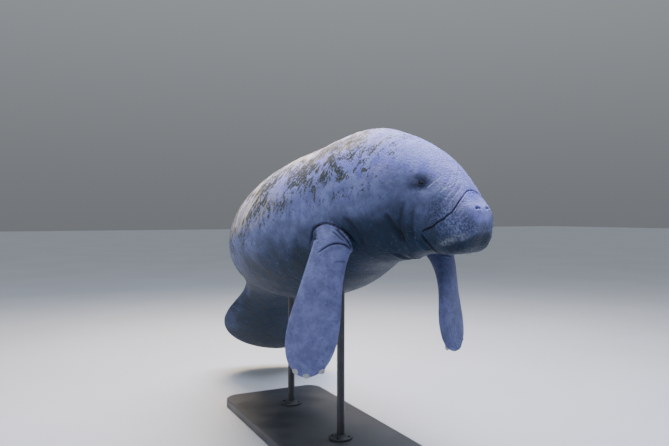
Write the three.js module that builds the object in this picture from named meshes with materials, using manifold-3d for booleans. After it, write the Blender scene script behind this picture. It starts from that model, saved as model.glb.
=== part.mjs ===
// Life-size display model of a swimming manatee on a plain stand.
// Millimetres, +Z up. The origin is the centre of the stand base's underside.
// The body heads along +X, its right side faces -Y.

import * as THREE from 'three';
import { mergeVertices } from 'three/addons/utils/BufferGeometryUtils.js';
import Module from 'manifold-3d';

const wasm = await Module();
wasm.setup();

// Overall sizes

const BODY_LENGTH = 2500; // along the body curve, snout to tail edge
const SHOULDER_SHARE = 0.233; // where the body curve is held, as a share of its length
const SHOULDER_X = 430; // shoulder, ahead of the base centre
const SHOULDER_HEIGHT = 940; // shoulder, above the ground
const PART_GAP = 0.4; // the thin cut between neighbouring pieces
const CURVE_STEPS = 1000;

// Finishes

const SKIN = { color: 0x8a95bb, roughness: 0.62, metalness: 0 };
const SKIN_LOW = { color: 0x5a6f94, roughness: 0.62, metalness: 0 };
const NAIL = { color: 0xb9b7a6, roughness: 0.5, metalness: 0 };
const EYE = { color: 0x171412, roughness: 0.15, metalness: 0 };
const STAND = { color: 0x35383c, roughness: 0.55, metalness: 0.6 };

// Stations along the body curve: share of the length, half width, rise above the curve, drop
// below it (all as shares of the length) and the squareness of the section.

const STATIONS = [
  [0.011, 0.0000, 0.0000, 0.0000, 2.0],
  [0.011, 0.0270, 0.0180, 0.0170, 2.2],
  [0.015, 0.0395, 0.0250, 0.0245, 2.6],
  [0.027, 0.0425, 0.0270, 0.0330, 2.8],
  [0.049, 0.0437, 0.0325, 0.0570, 2.5],
  [0.073, 0.0446, 0.0440, 0.0862, 2.3],
  [0.102, 0.0499, 0.0630, 0.0805, 2.1],
  [0.141, 0.0603, 0.0850, 0.0865, 2.0],
  [0.185, 0.0750, 0.0990, 0.0925, 2.0],
  [0.238, 0.0916, 0.1004, 0.0959, 2.0],
  [0.301, 0.1117, 0.1105, 0.1077, 2.0],
  [0.383, 0.1302, 0.1190, 0.1118, 2.0],
  [0.464, 0.1312, 0.1145, 0.1090, 2.0],
  [0.544, 0.1151, 0.0970, 0.0967, 2.0],
  [0.625, 0.0891, 0.0724, 0.0746, 2.0],
  [0.696, 0.0639, 0.0493, 0.0527, 2.0],
  [0.747, 0.0525, 0.0350, 0.0369, 2.0],
  [0.787, 0.0646, 0.0253, 0.0272, 1.9],
  [0.828, 0.0928, 0.0194, 0.0204, 1.7],
  [0.878, 0.1172, 0.0146, 0.0155, 1.6],
  [0.929, 0.1136, 0.0107, 0.0107, 1.6],
  [0.970, 0.0866, 0.0078, 0.0078, 1.6],
  [0.995, 0.0451, 0.0049, 0.0049, 1.7],
  [1.000, 0.0040, 0.0019, 0.0019, 2.0],
];

// Heading of the body curve: the animal looks forward and down, bends its tail down and to its left.
// Each entry is a share of the length and an angle in degrees, with smooth steps between them.

const TURN_LEFT = [[0.049, 26], [0.235, 0], [0.486, 0], [0.826, -23]];
const PITCH_UP = [[0.039, -38], [0.146, 3.2], [0.272, 15.4], [0.486, 10.2], [0.826, 44.9]];

// The snout's sections lean back at the top: how far forward a point goes for each unit of height.

const LEAN_FORWARD = [[0.011, -0.46], [0.070, 0]];

// Where the body is parted, and how finely each part is faceted

const HEAD_END = 0.118;
const NECK_END = 0.170;
const TORSO_END = 0.620;
const STOCK_END = 0.790;
const HEAD_FACETS = { rings: 28, sides: 56 };
const NECK_FACETS = { rings: 7, sides: 48 };
const TORSO_FACETS = { rings: 22, sides: 38 };
const STOCK_FACETS = { rings: 9, sides: 28 };
const PADDLE_FACETS = { rings: 18, sides: 28 };
const FLIPPER_FACETS = { rings: 20, sides: 22 };
const EYE_FACETS = { wide: 16, high: 10 };
const NAIL_FACETS = { wide: 12, high: 6 };
const ROUND_SIDES = 20; // rods and collars

// Helpers

const radians = (degrees) => degrees * Math.PI / 180;
const lerp = (a, b, t) => a + (b - a) * t;
const clamp = (x, low, high) => Math.min(high, Math.max(low, x));

function smoothSteps(points, x) {
  let value = points[0][1];
  for (let k = 1; k < points.length; k += 1) {
    const t = clamp((x - points[k - 1][0]) / (points[k][0] - points[k - 1][0]), 0, 1);
    value += (points[k][1] - points[k - 1][1]) * t * t * (3 - 2 * t);
  }
  return value;
}

// A cubic B-spline through rows of numbers, at row position u.
function splineRow(rows, u) {
  const last = rows.length - 1;
  const i = clamp(Math.floor(u), 0, last - 1);
  const t = u - i;
  const weights = [
    (1 - t) ** 3 / 6,
    (3 * t ** 3 - 6 * t ** 2 + 4) / 6,
    (-3 * t ** 3 + 3 * t ** 2 + 3 * t + 1) / 6,
    t ** 3 / 6,
  ];
  return rows[0].map((_, column) => weights.reduce(
    (sum, weight, k) => sum + weight * rows[clamp(i - 1 + k, 0, last)][column], 0));
}

// Row position whose first column has the given value.
function rowPositionAt(rows, value) {
  let low = 0;
  let high = rows.length - 1;
  for (let k = 0; k < 40; k += 1) {
    const middle = (low + high) / 2;
    if (splineRow(rows, middle)[0] < value) low = middle;
    else high = middle;
  }
  return low;
}

function headingAt(share) {
  const yaw = radians(smoothSteps(TURN_LEFT, share));
  const pitch = radians(smoothSteps(PITCH_UP, share));
  return new THREE.Vector3(
    Math.cos(pitch) * Math.cos(yaw), Math.cos(pitch) * Math.sin(yaw), Math.sin(pitch));
}

// The body curve, added up from the snout backwards and then moved to the shoulder point.
const curve = [new THREE.Vector3()];
for (let k = 1; k <= CURVE_STEPS; k += 1) {
  const heading = headingAt((k - 0.5) / CURVE_STEPS);
  curve.push(curve[k - 1].clone().addScaledVector(heading, -BODY_LENGTH / CURVE_STEPS));
}

function rawCurvePoint(share) {
  const x = clamp(share, 0, 1) * CURVE_STEPS;
  const k = Math.min(CURVE_STEPS - 1, Math.floor(x));
  return curve[k].clone().lerp(curve[k + 1], x - k);
}

const curveShift = new THREE.Vector3(SHOULDER_X, 0, SHOULDER_HEIGHT)
  .sub(rawCurvePoint(SHOULDER_SHARE));

// Axes of the cross-section at a share of the length: forward, to the animal's right, up.
function frameAt(share) {
  const forward = headingAt(share);
  const yaw = radians(smoothSteps(TURN_LEFT, share));
  const right = new THREE.Vector3(Math.sin(yaw), -Math.cos(yaw), 0);
  const up = right.clone().cross(forward);
  return { centre: rawCurvePoint(share).add(curveShift), forward, right, up };
}

// A point on the plain body at row position u; angle 0 is the animal's right, 90 degrees its back.
function plainBodyPoint(u, angle) {
  const [share, halfWidth, rise, drop, squareness] = splineRow(STATIONS, u);
  const { centre, forward, right, up } = frameAt(share);
  const c = Math.cos(angle);
  const s = Math.sin(angle);
  const side = Math.sign(c) * Math.abs(c) ** (2 / squareness) * halfWidth;
  const high = Math.sign(s) * Math.abs(s) ** (2 / squareness) * (s > 0 ? rise : drop);
  return centre
    .addScaledVector(right, side * BODY_LENGTH)
    .addScaledVector(up, high * BODY_LENGTH)
    .addScaledVector(forward, high * BODY_LENGTH * smoothSteps(LEAN_FORWARD, share));
}

function normalOf(surface, u, angle) {
  const du = surface(u + 0.01, angle).sub(surface(u - 0.01, angle));
  const dv = surface(u, angle + 0.01).sub(surface(u, angle - 0.01));
  return dv.cross(du).normalize();
}

// Swellings and hollows of the body: place on the surface (share of the length and angle in
// degrees), radius and height in mm. Each is repeated on the animal's left.

const SWELLINGS = [
  { share: 0.030, angle: -38, radius: 62, height: 10 }, // upper lip pad
  { share: 0.0142, angle: 74, radius: 20, height: 5 }, // nostril pad
  { share: 0.062, angle: 2, radius: 60, height: 5 }, // cheek
  { share: 0.0871, angle: 18.5, radius: 30, height: -6 }, // eye hollow
  { share: 0.086, angle: 48, radius: 40, height: 4 }, // brow
];

const swellings = SWELLINGS.flatMap(({ share, angle, radius, height }) => {
  const u = rowPositionAt(STATIONS, share);
  return [angle, 180 - angle].map((side) => (
    { point: plainBodyPoint(u, radians(side)), radius, height }));
});

function bodyPoint(u, angle, grow = 0) {
  const point = plainBodyPoint(u, angle);
  const normal = normalOf(plainBodyPoint, u, angle);
  let offset = grow;
  for (const { point: centre, radius, height } of swellings) {
    const distance = centre.distanceTo(point);
    if (distance < 3 * radius) offset += height * Math.exp(-((distance / radius) ** 2));
  }
  return point.addScaledVector(normal, offset);
}

function onBody(share, angle, grow = 0) {
  return bodyPoint(rowPositionAt(STATIONS, share), radians(angle), grow);
}

function bodyNormal(share, angle) {
  return normalOf(plainBodyPoint, rowPositionAt(STATIONS, share), radians(angle));
}

// A closed skin over rings of points, with a fan at each end.
function ringsToGeometry(rings) {
  const positions = [];
  const indices = [];
  const sides = rings[0].length;
  for (const ring of rings) {
    for (const point of ring) positions.push(point.x, point.y, point.z);
  }
  for (let i = 0; i + 1 < rings.length; i += 1) {
    for (let j = 0; j < sides; j += 1) {
      const a = i * sides + j;
      const b = i * sides + (j + 1) % sides;
      indices.push(a, b, b + sides, a, b + sides, a + sides);
    }
  }
  for (const end of [0, rings.length - 1]) {
    const centre = new THREE.Vector3();
    for (const point of rings[end]) centre.addScaledVector(point, 1 / sides);
    const middle = positions.length / 3;
    positions.push(centre.x, centre.y, centre.z);
    for (let j = 0; j < sides; j += 1) {
      const a = end * sides + j;
      const b = end * sides + (j + 1) % sides;
      if (end === 0) indices.push(middle, b, a);
      else indices.push(middle, a, b);
    }
  }
  const geometry = new THREE.BufferGeometry();
  geometry.setAttribute('position', new THREE.Float32BufferAttribute(positions, 3));
  geometry.setIndex(indices);
  return geometry;
}

// Solids for joining and cutting

function solidOf(geometry) {
  const bare = geometry.clone();
  bare.deleteAttribute('normal');
  bare.deleteAttribute('uv');
  const merged = mergeVertices(bare, 1e-4);
  const mesh = new wasm.Mesh({
    numProp: 3,
    vertProperties: new Float32Array(merged.attributes.position.array),
    triVerts: new Uint32Array(merged.index.array),
  });
  const solid = new wasm.Manifold(mesh);
  return solid.volume() < 0 ? flipped(merged) : solid;
}

function flipped(geometry) {
  const index = geometry.index.array;
  const turned = new Uint32Array(index.length);
  for (let k = 0; k < index.length; k += 3) {
    turned.set([index[k], index[k + 2], index[k + 1]], k);
  }
  return new wasm.Manifold(new wasm.Mesh({
    numProp: 3,
    vertProperties: new Float32Array(geometry.attributes.position.array),
    triVerts: turned,
  }));
}

const joined = (solids) => solids.reduce((all, solid) => all.add(solid));
const cutBy = (solid, cutters) => cutters.reduce((left, cutter) => left.subtract(cutter), solid);

// The largest closed piece of a solid, as a geometry.
function geometryOf(solid) {
  const pieces = solid.decompose().sort((a, b) => b.volume() - a.volume());
  const { vertProperties, triVerts, numProp } = pieces[0].getMesh();
  const positions = new Float32Array(vertProperties.length / numProp * 3);
  for (let k = 0; k < positions.length / 3; k += 1) {
    positions.set(vertProperties.subarray(k * numProp, k * numProp + 3), k * 3);
  }
  const geometry = new THREE.BufferGeometry();
  geometry.setAttribute('position', new THREE.BufferAttribute(positions, 3));
  geometry.setIndex(new THREE.BufferAttribute(new Uint32Array(triVerts), 1));
  return geometry;
}

// One length of the body between two shares of its length.
function bodyLength(from, to, { rings, sides }, grow = 0) {
  const first = rowPositionAt(STATIONS, from);
  const last = rowPositionAt(STATIONS, to);
  const list = [];
  for (let i = 0; i <= rings; i += 1) {
    const u = lerp(first, last, i / rings);
    const ring = [];
    for (let j = 0; j < sides; j += 1) ring.push(bodyPoint(u, j / sides * 2 * Math.PI, grow));
    list.push(ring);
  }
  return solidOf(ringsToGeometry(list));
}

// Paths on the body: a list of places (share and angle), smoothed, with the surface normals.
// A share is drawn out by this scale, so that it weighs about as much as an angle in degrees.
const PATH_SCALE = 1000;

function pathOnBody(places, steps, mirrored = false) {
  const flat = new THREE.CatmullRomCurve3(places.map(([share, angle]) => (
    new THREE.Vector3(share * PATH_SCALE, mirrored ? 180 - angle : angle, 0))));
  return flat.getPoints(steps).map(({ x, y }) => (
    { point: onBody(x / PATH_SCALE, y), normal: bodyNormal(x / PATH_SCALE, y) }));
}

// Closed strip along a path; section(k) gives its corners as [across, out] pairs.
function stripAlong(path, section) {
  const last = path.length - 1;
  const rings = path.map(({ point, normal }, k) => {
    const along = path[Math.min(last, k + 1)].point.clone().sub(path[Math.max(0, k - 1)].point);
    const across = along.cross(normal).normalize();
    return section(k / last).map(([side, out]) => (
      point.clone().addScaledVector(across, side).addScaledVector(normal, out)));
  });
  return solidOf(ringsToGeometry(rings));
}

const FURROW_CLEARANCE = 2.5; // how far the cutting strip stands out of the skin
const FURROW_FLOOR = 0.12; // width of the furrow's floor, as a share of its width at the skin

// A V-shaped furrow, deepest in the middle of its path and running out at its ends.
function furrow(path, { depth, halfWidth }) {
  return stripAlong(path, (t) => {
    const swell = 0.25 + 0.75 * Math.sin(Math.PI * clamp(t, 0.02, 0.98)) ** 0.6;
    const d = depth * swell;
    const w = halfWidth * (0.4 + 0.6 * swell);
    const top = w * (1 + FURROW_CLEARANCE / d);
    const floor = w * FURROW_FLOOR;
    return [[-top, FURROW_CLEARANCE], [top, FURROW_CLEARANCE], [floor, -d], [-floor, -d]];
  });
}

// A rounded fold half sunk in the surface, thinner towards its ends.
function fold(path, { height, halfWidth, sides }) {
  return stripAlong(path, (t) => {
    const swell = 0.3 + 0.7 * Math.sin(Math.PI * clamp(t, 0.02, 0.98)) ** 0.7;
    const corners = [];
    for (let j = 0; j < sides; j += 1) {
      const angle = (j + 0.5) / sides * 2 * Math.PI;
      corners.push([Math.cos(angle) * halfWidth * swell,
        height * swell * (0.2 + Math.sin(angle)) - (1 - swell) * height * 0.4]);
    }
    return corners;
  });
}

const bothSides = (make) => [make(false), make(true)];

// Eye

const EYE_PLACE = { share: 0.0871, angle: 18.5 };
const EYE_RADIUS = 12;
const EYE_SINK = 9; // centre below the skin
const LID_REACH = 17; // from the middle of the eye to its corners
const UPPER_LID = { bulge: 6.5, height: 3.4, halfWidth: 4.2, sides: 6 };
const LOWER_LID = { bulge: -6.5, height: 2.8, halfWidth: 3.8, sides: 6 };
const LID_STEPS = 10;

function eyeCentre(mirrored) {
  const angle = mirrored ? 180 - EYE_PLACE.angle : EYE_PLACE.angle;
  const place = onBody(EYE_PLACE.share, angle);
  return place.addScaledVector(bodyNormal(EYE_PLACE.share, angle), -EYE_SINK);
}

function eyeball(mirrored, radius) {
  const { x, y, z } = eyeCentre(mirrored);
  const geometry = new THREE.SphereGeometry(radius, EYE_FACETS.wide, EYE_FACETS.high);
  geometry.translate(x, y, z);
  return solidOf(geometry);
}

// A lid: an arched fold from corner to corner of the eye.
function lid(mirrored, shape) {
  const girthRadius = splineRow(STATIONS, rowPositionAt(STATIONS, EYE_PLACE.share))[1] * BODY_LENGTH;
  const places = [-1, -0.6, 0, 0.6, 1].map((t) => {
    const along = t * LID_REACH / BODY_LENGTH;
    const arch = shape.bulge * (1 - t * t) / girthRadius * 180 / Math.PI;
    return [EYE_PLACE.share + along, EYE_PLACE.angle + arch];
  });
  return fold(pathOnBody(places, LID_STEPS, mirrored), shape);
}

// Furrows of the skin: places (share and angle), repeated on the left, their depth and half width.

const MUZZLE_CREASE = {
  places: [[0.0625, -25.5], [0.0585, -21.5], [0.0526, -15.5], [0.0475, -6.5], [0.0411, 1.5],
    [0.0365, 16.5], [0.0366, 38], [0.0397, 57], [0.0448, 74], [0.0477, 86]],
  depth: 9, halfWidth: 4, steps: 20,
};
const MOUTH_LINE = {
  places: [[0.0625, -26.5], [0.0575, -32], [0.0519, -39], [0.0477, -46.5], [0.0449, -54],
    [0.0428, -64], [0.0405, -77], [0.0395, -90]],
  depth: 12, halfWidth: 3.5, steps: 16,
};
const NOSTRIL = {
  places: [[0.0166, 66], [0.0175, 72], [0.0173, 79], [0.0156, 83]],
  depth: 9, halfWidth: 3.5, steps: 8,
};
const NECK_FOLD = {
  places: [[0.1254, -16], [0.1166, -24], [0.1048, -34], [0.090, -45]],
  depth: 7, halfWidth: 5, steps: 12,
};
const THROAT_FOLD = {
  places: [[0.0978, -2], [0.1009, -16], [0.102, -29], [0.0985, -42]],
  depth: 7, halfWidth: 5, steps: 12,
};
const SHOULDER_FOLD = {
  places: [[0.181, -16], [0.172, -25], [0.168, -37], [0.172, -54]],
  depth: 6, halfWidth: 7, steps: 12,
};
const ARM_FOLD = {
  places: [[0.256, -32], [0.237, -24], [0.214, -21], [0.196, -26], [0.189, -37], [0.193, -51]],
  depth: 8, halfWidth: 7, steps: 14,
};

// The rim of the upper lip, a raised fold.

const LIP_RIM = {
  places: [[0.0435, -52], [0.0395, -56], [0.0350, -57], [0.0254, -52],
    [0.0170, -47], [0.0142, -62], [0.0134, -90]],
  height: 4.5, halfWidth: 11, sides: 8, steps: 14,
};

const onPath = (line, mirrored) => pathOnBody(line.places, line.steps, mirrored);
const furrowPair = (line) => bothSides((mirrored) => furrow(onPath(line, mirrored), line));

// Body

const halfGap = PART_GAP / BODY_LENGTH / 2;
const headShape = bodyLength(0, HEAD_END - halfGap, HEAD_FACETS);
const lids = [UPPER_LID, LOWER_LID].flatMap((shape) => bothSides((mirrored) => lid(mirrored, shape)));
const lips = bothSides((mirrored) => fold(onPath(LIP_RIM, mirrored), LIP_RIM));
const eyeSockets = bothSides((mirrored) => eyeball(mirrored, EYE_RADIUS + PART_GAP));
const neckFurrows = [NECK_FOLD, THROAT_FOLD].flatMap(furrowPair);
const headFurrows = [MUZZLE_CREASE, MOUTH_LINE, NOSTRIL].flatMap(furrowPair);
const torsoFurrows = [SHOULDER_FOLD, ARM_FOLD].flatMap(furrowPair);

const head = cutBy(joined([headShape, ...lids, ...lips]),
  [...headFurrows, ...neckFurrows, ...eyeSockets]);
const neck = cutBy(bodyLength(HEAD_END + halfGap, NECK_END - halfGap, NECK_FACETS), neckFurrows);
const torso = cutBy(bodyLength(NECK_END + halfGap, TORSO_END - halfGap, TORSO_FACETS), torsoFurrows);
const tailStock = bodyLength(TORSO_END + halfGap, STOCK_END - halfGap, STOCK_FACETS);
const TAIL_EDGE = splineRow(STATIONS, STATIONS.length - 1.2)[0];
const tailPaddle = bodyLength(STOCK_END + halfGap, TAIL_EDGE, PADDLE_FACETS);

// Flippers: a path from inside the shoulder to the tip, in mm from the shoulder point, and the
// direction of the broad side at the root and at the tip.

const FLIPPERS = {
  right: {
    path: [[60, -120, -70], [130, -235, -160], [125, -245, -400], [100, -290, -565]],
    broadRoot: [0.8, 0.6, 0],
    broadTip: [0.47, 0.88, 0],
  },
  left: {
    path: [[125, 120, -80], [247, 248, -170], [219, 166, -360], [236, 235, -501]],
    broadRoot: [0.84, -0.54, 0],
    broadTip: [0.36, -0.93, 0],
  },
};

// Share along the flipper, half breadth and half thickness as shares of the body length.

const FLIPPER_ROWS = [
  [0.00, 0.0260, 0.0240],
  [0.10, 0.0260, 0.0220],
  [0.22, 0.0260, 0.0190],
  [0.36, 0.0265, 0.0150],
  [0.50, 0.0290, 0.0115],
  [0.64, 0.0335, 0.0090],
  [0.78, 0.0355, 0.0075],
  [0.90, 0.0290, 0.0060],
  [0.97, 0.0180, 0.0045],
  [1.00, 0.0040, 0.0030],
];

function flipperFrame({ path, broadRoot, broadTip }, t) {
  const origin = new THREE.Vector3(SHOULDER_X, 0, SHOULDER_HEIGHT);
  const bezier = new THREE.CubicBezierCurve3(
    ...path.map((place) => new THREE.Vector3(...place).add(origin)));
  const centre = bezier.getPoint(t);
  const along = bezier.getTangent(t);
  const broad = new THREE.Vector3(...broadRoot).lerp(new THREE.Vector3(...broadTip), t);
  broad.addScaledVector(along, -broad.dot(along)).normalize();
  return { centre, along, broad, thick: along.clone().cross(broad) };
}

function flipperPoint(flipper, u, angle, grow = 0) {
  const [t, halfBreadth, halfThickness] = splineRow(FLIPPER_ROWS, u);
  const { centre, broad, thick } = flipperFrame(flipper, t);
  return centre
    .addScaledVector(broad, (halfBreadth * BODY_LENGTH + grow) * Math.cos(angle))
    .addScaledVector(thick, (halfThickness * BODY_LENGTH + grow) * Math.sin(angle));
}

function flipperShape(flipper, grow = 0) {
  const { rings, sides } = FLIPPER_FACETS;
  const list = [];
  for (let i = 0; i <= rings; i += 1) {
    const u = i / rings * (FLIPPER_ROWS.length - 1);
    const ring = [];
    for (let j = 0; j < sides; j += 1) ring.push(flipperPoint(flipper, u, j / sides * 2 * Math.PI, grow));
    list.push(ring);
  }
  return solidOf(ringsToGeometry(list));
}

// The torso and neck, grown by the gap, to cut what meets them.
const OVERRUN = 1 / BODY_LENGTH;
const grownTorso = bodyLength(NECK_END - OVERRUN, TORSO_END + OVERRUN, TORSO_FACETS, PART_GAP);
const grownNeck = bodyLength(HEAD_END - OVERRUN, NECK_END + OVERRUN, NECK_FACETS, PART_GAP);

// Nails: low domed plates on the outer face near the tip, as places (share along, place across)
// and half sizes.

const NAIL_PLACES = [[0.970, -0.60], [0.978, 0.36], [0.930, 0.93]];
const NAIL_SIZE = { length: 11, breadth: 12, thickness: 3.8 };

function nailShape(flipper, [share, across], grown) {
  const u = rowPositionAt(FLIPPER_ROWS, share);
  const [t, halfBreadth, halfThickness] = splineRow(FLIPPER_ROWS, u);
  const { centre, along, broad, thick } = flipperFrame(flipper, t);
  const rise = halfThickness * BODY_LENGTH * Math.sqrt(1 - across * across);
  const geometry = new THREE.SphereGeometry(1, NAIL_FACETS.wide, NAIL_FACETS.high);
  geometry.scale(NAIL_SIZE.breadth, NAIL_SIZE.length, NAIL_SIZE.thickness);
  const frame = new THREE.Matrix4().makeBasis(broad, along, broad.clone().cross(along));
  geometry.applyMatrix4(frame);
  centre.addScaledVector(broad, across * halfBreadth * BODY_LENGTH)
    .addScaledVector(thick, rise);
  geometry.translate(centre.x, centre.y, centre.z);
  return solidOf(geometry).subtract(grown);
}

// Stand

const BASE_LENGTH = 1150;
const BASE_WIDTH = 480;
const BASE_CORNER = 70;
const BASE_BEVEL = 4;
const BASE_THICKNESS = 36;
const ROD_RADIUS = 15;
const ROD_PLACES = { front: [220, 0], rear: [-300, 0] };
const COLLAR_RADIUS = 46;
const COLLAR_HEIGHT = 16;
const COLLAR_SHOULDER = 5; // the sloped upper edge

function baseGeometry() {
  const x = BASE_LENGTH / 2 - BASE_BEVEL;
  const y = BASE_WIDTH / 2 - BASE_BEVEL;
  const r = BASE_CORNER;
  const outline = new THREE.Shape();
  outline.moveTo(-x + r, -y);
  outline.lineTo(x - r, -y);
  outline.absarc(x - r, -y + r, r, -Math.PI / 2, 0);
  outline.lineTo(x, y - r);
  outline.absarc(x - r, y - r, r, 0, Math.PI / 2);
  outline.lineTo(-x + r, y);
  outline.absarc(-x + r, y - r, r, Math.PI / 2, Math.PI);
  outline.lineTo(-x, -y + r);
  outline.absarc(-x + r, -y + r, r, Math.PI, 1.5 * Math.PI);
  const geometry = new THREE.ExtrudeGeometry(outline, {
    depth: BASE_THICKNESS - 2 * BASE_BEVEL,
    bevelEnabled: true,
    bevelSize: BASE_BEVEL,
    bevelThickness: BASE_BEVEL,
    bevelSegments: 1,
    curveSegments: 6,
  });
  geometry.translate(0, 0, BASE_BEVEL);
  return geometry;
}

// A collar turned around the foot of a rod, with a rounded shoulder.
function collarGeometry() {
  const inner = ROD_RADIUS + PART_GAP;
  const profile = [
    [inner, 0], [COLLAR_RADIUS, 0], [COLLAR_RADIUS, COLLAR_HEIGHT - COLLAR_SHOULDER],
    [COLLAR_RADIUS - COLLAR_SHOULDER, COLLAR_HEIGHT], [inner, COLLAR_HEIGHT], [inner, 0],
  ];
  const geometry = new THREE.LatheGeometry(
    profile.map(([x, y]) => new THREE.Vector2(x, y)), ROUND_SIDES);
  geometry.rotateX(Math.PI / 2);
  return geometry;
}

function rodSolid([x, y]) {
  const length = SHOULDER_HEIGHT;
  const geometry = new THREE.CylinderGeometry(ROD_RADIUS, ROD_RADIUS, length, ROUND_SIDES);
  geometry.rotateX(Math.PI / 2);
  geometry.translate(x, y, BASE_THICKNESS + PART_GAP + length / 2);
  return lowestPiece(solidOf(geometry).subtract(grownTorso));
}

function lowestPiece(solid) {
  return solid.decompose().sort((a, b) => a.boundingBox().min[2] - b.boundingBox().min[2])[0];
}

// The model

const model = new THREE.Group();

function add(name, geometry, finish, position = [0, 0, 0]) {
  const mesh = new THREE.Mesh(geometry, new THREE.MeshStandardMaterial(finish));
  mesh.name = name;
  mesh.position.set(...position);
  model.add(mesh);
}

add('head', geometryOf(head), SKIN);
add('neck', geometryOf(neck), SKIN);
add('torso', geometryOf(torso), SKIN);
add('tail_stock', geometryOf(tailStock), SKIN_LOW);
add('tail_paddle', geometryOf(tailPaddle), SKIN_LOW);

for (const [name, flipper] of Object.entries(FLIPPERS)) {
  const solid = flipperShape(flipper).subtract(grownTorso).subtract(grownNeck);
  add(`flipper_${name}`, geometryOf(solid), SKIN);
  const grown = flipperShape(flipper, PART_GAP);
  NAIL_PLACES.forEach((place, k) => {
    add(`nail_${name}_${k + 1}`, geometryOf(nailShape(flipper, place, grown)), NAIL);
  });
}

for (const [name, mirrored] of [['right', false], ['left', true]]) {
  add(`eye_${name}`, geometryOf(eyeball(mirrored, EYE_RADIUS)), EYE);
}

add('stand_base', geometryOf(solidOf(baseGeometry())), STAND);
for (const [name, place] of Object.entries(ROD_PLACES)) {
  add(`stand_rod_${name}`, geometryOf(rodSolid(place)), STAND);
  add(`stand_collar_${name}`, geometryOf(solidOf(collarGeometry())), STAND,
    [place[0], place[1], BASE_THICKNESS + PART_GAP]);
}

export default model;
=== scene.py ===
"""Looks of a life-size manatee display model: its skin, eyes, nails, hairs and stand.

Metres, +Z up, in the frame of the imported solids. The body heads along +X and its right side faces -Y.
"""

import logging
import math
from dataclasses import dataclass
from enum import Enum

import bmesh
import bpy
import numpy as np
from mathutils import Matrix, Vector, kdtree, noise
from mathutils.bvhtree import BVHTree


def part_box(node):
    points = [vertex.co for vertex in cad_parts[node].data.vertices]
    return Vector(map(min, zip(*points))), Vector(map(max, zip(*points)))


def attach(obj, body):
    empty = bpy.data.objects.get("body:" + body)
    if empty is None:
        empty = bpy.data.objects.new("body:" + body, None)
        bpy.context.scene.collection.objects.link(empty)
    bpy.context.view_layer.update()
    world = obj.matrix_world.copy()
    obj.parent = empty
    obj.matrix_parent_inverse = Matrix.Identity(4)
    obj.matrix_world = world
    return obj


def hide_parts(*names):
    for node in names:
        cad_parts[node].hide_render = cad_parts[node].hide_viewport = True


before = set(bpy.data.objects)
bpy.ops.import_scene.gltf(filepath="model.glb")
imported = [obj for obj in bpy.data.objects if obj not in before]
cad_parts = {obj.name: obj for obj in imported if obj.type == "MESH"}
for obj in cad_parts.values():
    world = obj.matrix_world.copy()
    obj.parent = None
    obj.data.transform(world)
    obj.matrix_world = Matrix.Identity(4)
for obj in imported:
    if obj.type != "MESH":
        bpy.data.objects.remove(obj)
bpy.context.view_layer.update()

ROOT = "root"
MM = 0.001
# The animal's length along its curve and the place of its shoulder, in metres.
LENGTH = 2.5
SHOULDER = (0.430, 0.0, 0.940)
# The eye's share of the length and its angle on the right side.
EYE_SHARE = 0.0871
EYE_ANGLE = 18.5
MAP_LAYER = "skin_map"
log = logging.getLogger("manatee")


class Side(Enum):
    """Sides of the animal."""

    RIGHT = "right"
    LEFT = "left"


class Mask(Enum):
    """Measures kept at each point of the skin, each from 0 to 1."""

    BACK = "back"
    BELLY_AND_TAIL_SHADE = "belly"
    ALGAE = "algae"
    FURROW_SHADE = "furrow"
    LIP = "lip"
    MUZZLE = "muzzle"
    SHADE = "shade"
    SCRATCH = "scratch"
    PAINTED_SUNLIGHT = "cream"
    LIMB = "limb"


# Small helpers for numbers and meshes


def smooth(x: np.ndarray, low: float, high: float) -> np.ndarray:
    """A smooth step from 0 at low to 1 at high."""
    t = np.clip((np.asarray(x, float) - low) / (high - low), 0, 1)
    return t * t * (3 - 2 * t)


def bump(x: np.ndarray, middle: float, reach: float) -> np.ndarray:
    """A smooth hill of height 1 at middle, gone at about twice the reach."""
    return np.exp(-(((x - middle) / reach) ** 2))


def unit(v: np.ndarray) -> np.ndarray:
    """Vectors scaled to length 1."""
    return v / np.maximum(np.linalg.norm(v, axis=-1, keepdims=True), 1e-12)


def smooth_steps(points: list, x: np.ndarray) -> np.ndarray:
    """A value that moves from point to point by smooth steps.

    Args:
        points: Pairs of a place and the value there.
        x: Places to read.

    Returns:
        The value at each place.
    """
    value = np.full(np.shape(x), float(points[0][1]))
    for (x0, y0), (x1, y1) in zip(points, points[1:]):
        value = value + (y1 - y0) * smooth(x, x0, x1)
    return value


def spline_rows(rows: np.ndarray, u: np.ndarray) -> np.ndarray:
    """A cubic B-spline through rows of numbers.

    Args:
        rows: One row of numbers for each knot.
        u: Row positions.

    Returns:
        The smoothed row at each position.
    """
    last = len(rows) - 1
    i = np.clip(np.floor(u).astype(int), 0, last - 1)
    t = (u - i)[..., None]
    weights = [
        (1 - t) ** 3 / 6,
        (3 * t ** 3 - 6 * t ** 2 + 4) / 6,
        (-3 * t ** 3 + 3 * t ** 2 + 3 * t + 1) / 6,
        t ** 3 / 6,
    ]
    return sum(w * rows[np.clip(i - 1 + k, 0, last)] for k, w in enumerate(weights))


def catmull(places: list, steps: int) -> np.ndarray:
    """A smooth line through places.

    Args:
        places: Rows of numbers to pass through.
        steps: How many points to give between two places.

    Returns:
        The points of the line.
    """
    p = np.array(places, float)
    p = np.vstack([2 * p[0] - p[1], p, 2 * p[-1] - p[-2]])
    line = []
    for k in range(1, len(p) - 2):
        for t in np.linspace(0, 1, steps, endpoint=False):
            a, b, c, d = p[k - 1], p[k], p[k + 1], p[k + 2]
            line.append(0.5 * (2 * b + (c - a) * t + (2 * a - 5 * b + 4 * c - d) * t ** 2
                               + (3 * b - a - 3 * c + d) * t ** 3))
    line.append(p[-2])
    return np.array(line)


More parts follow.
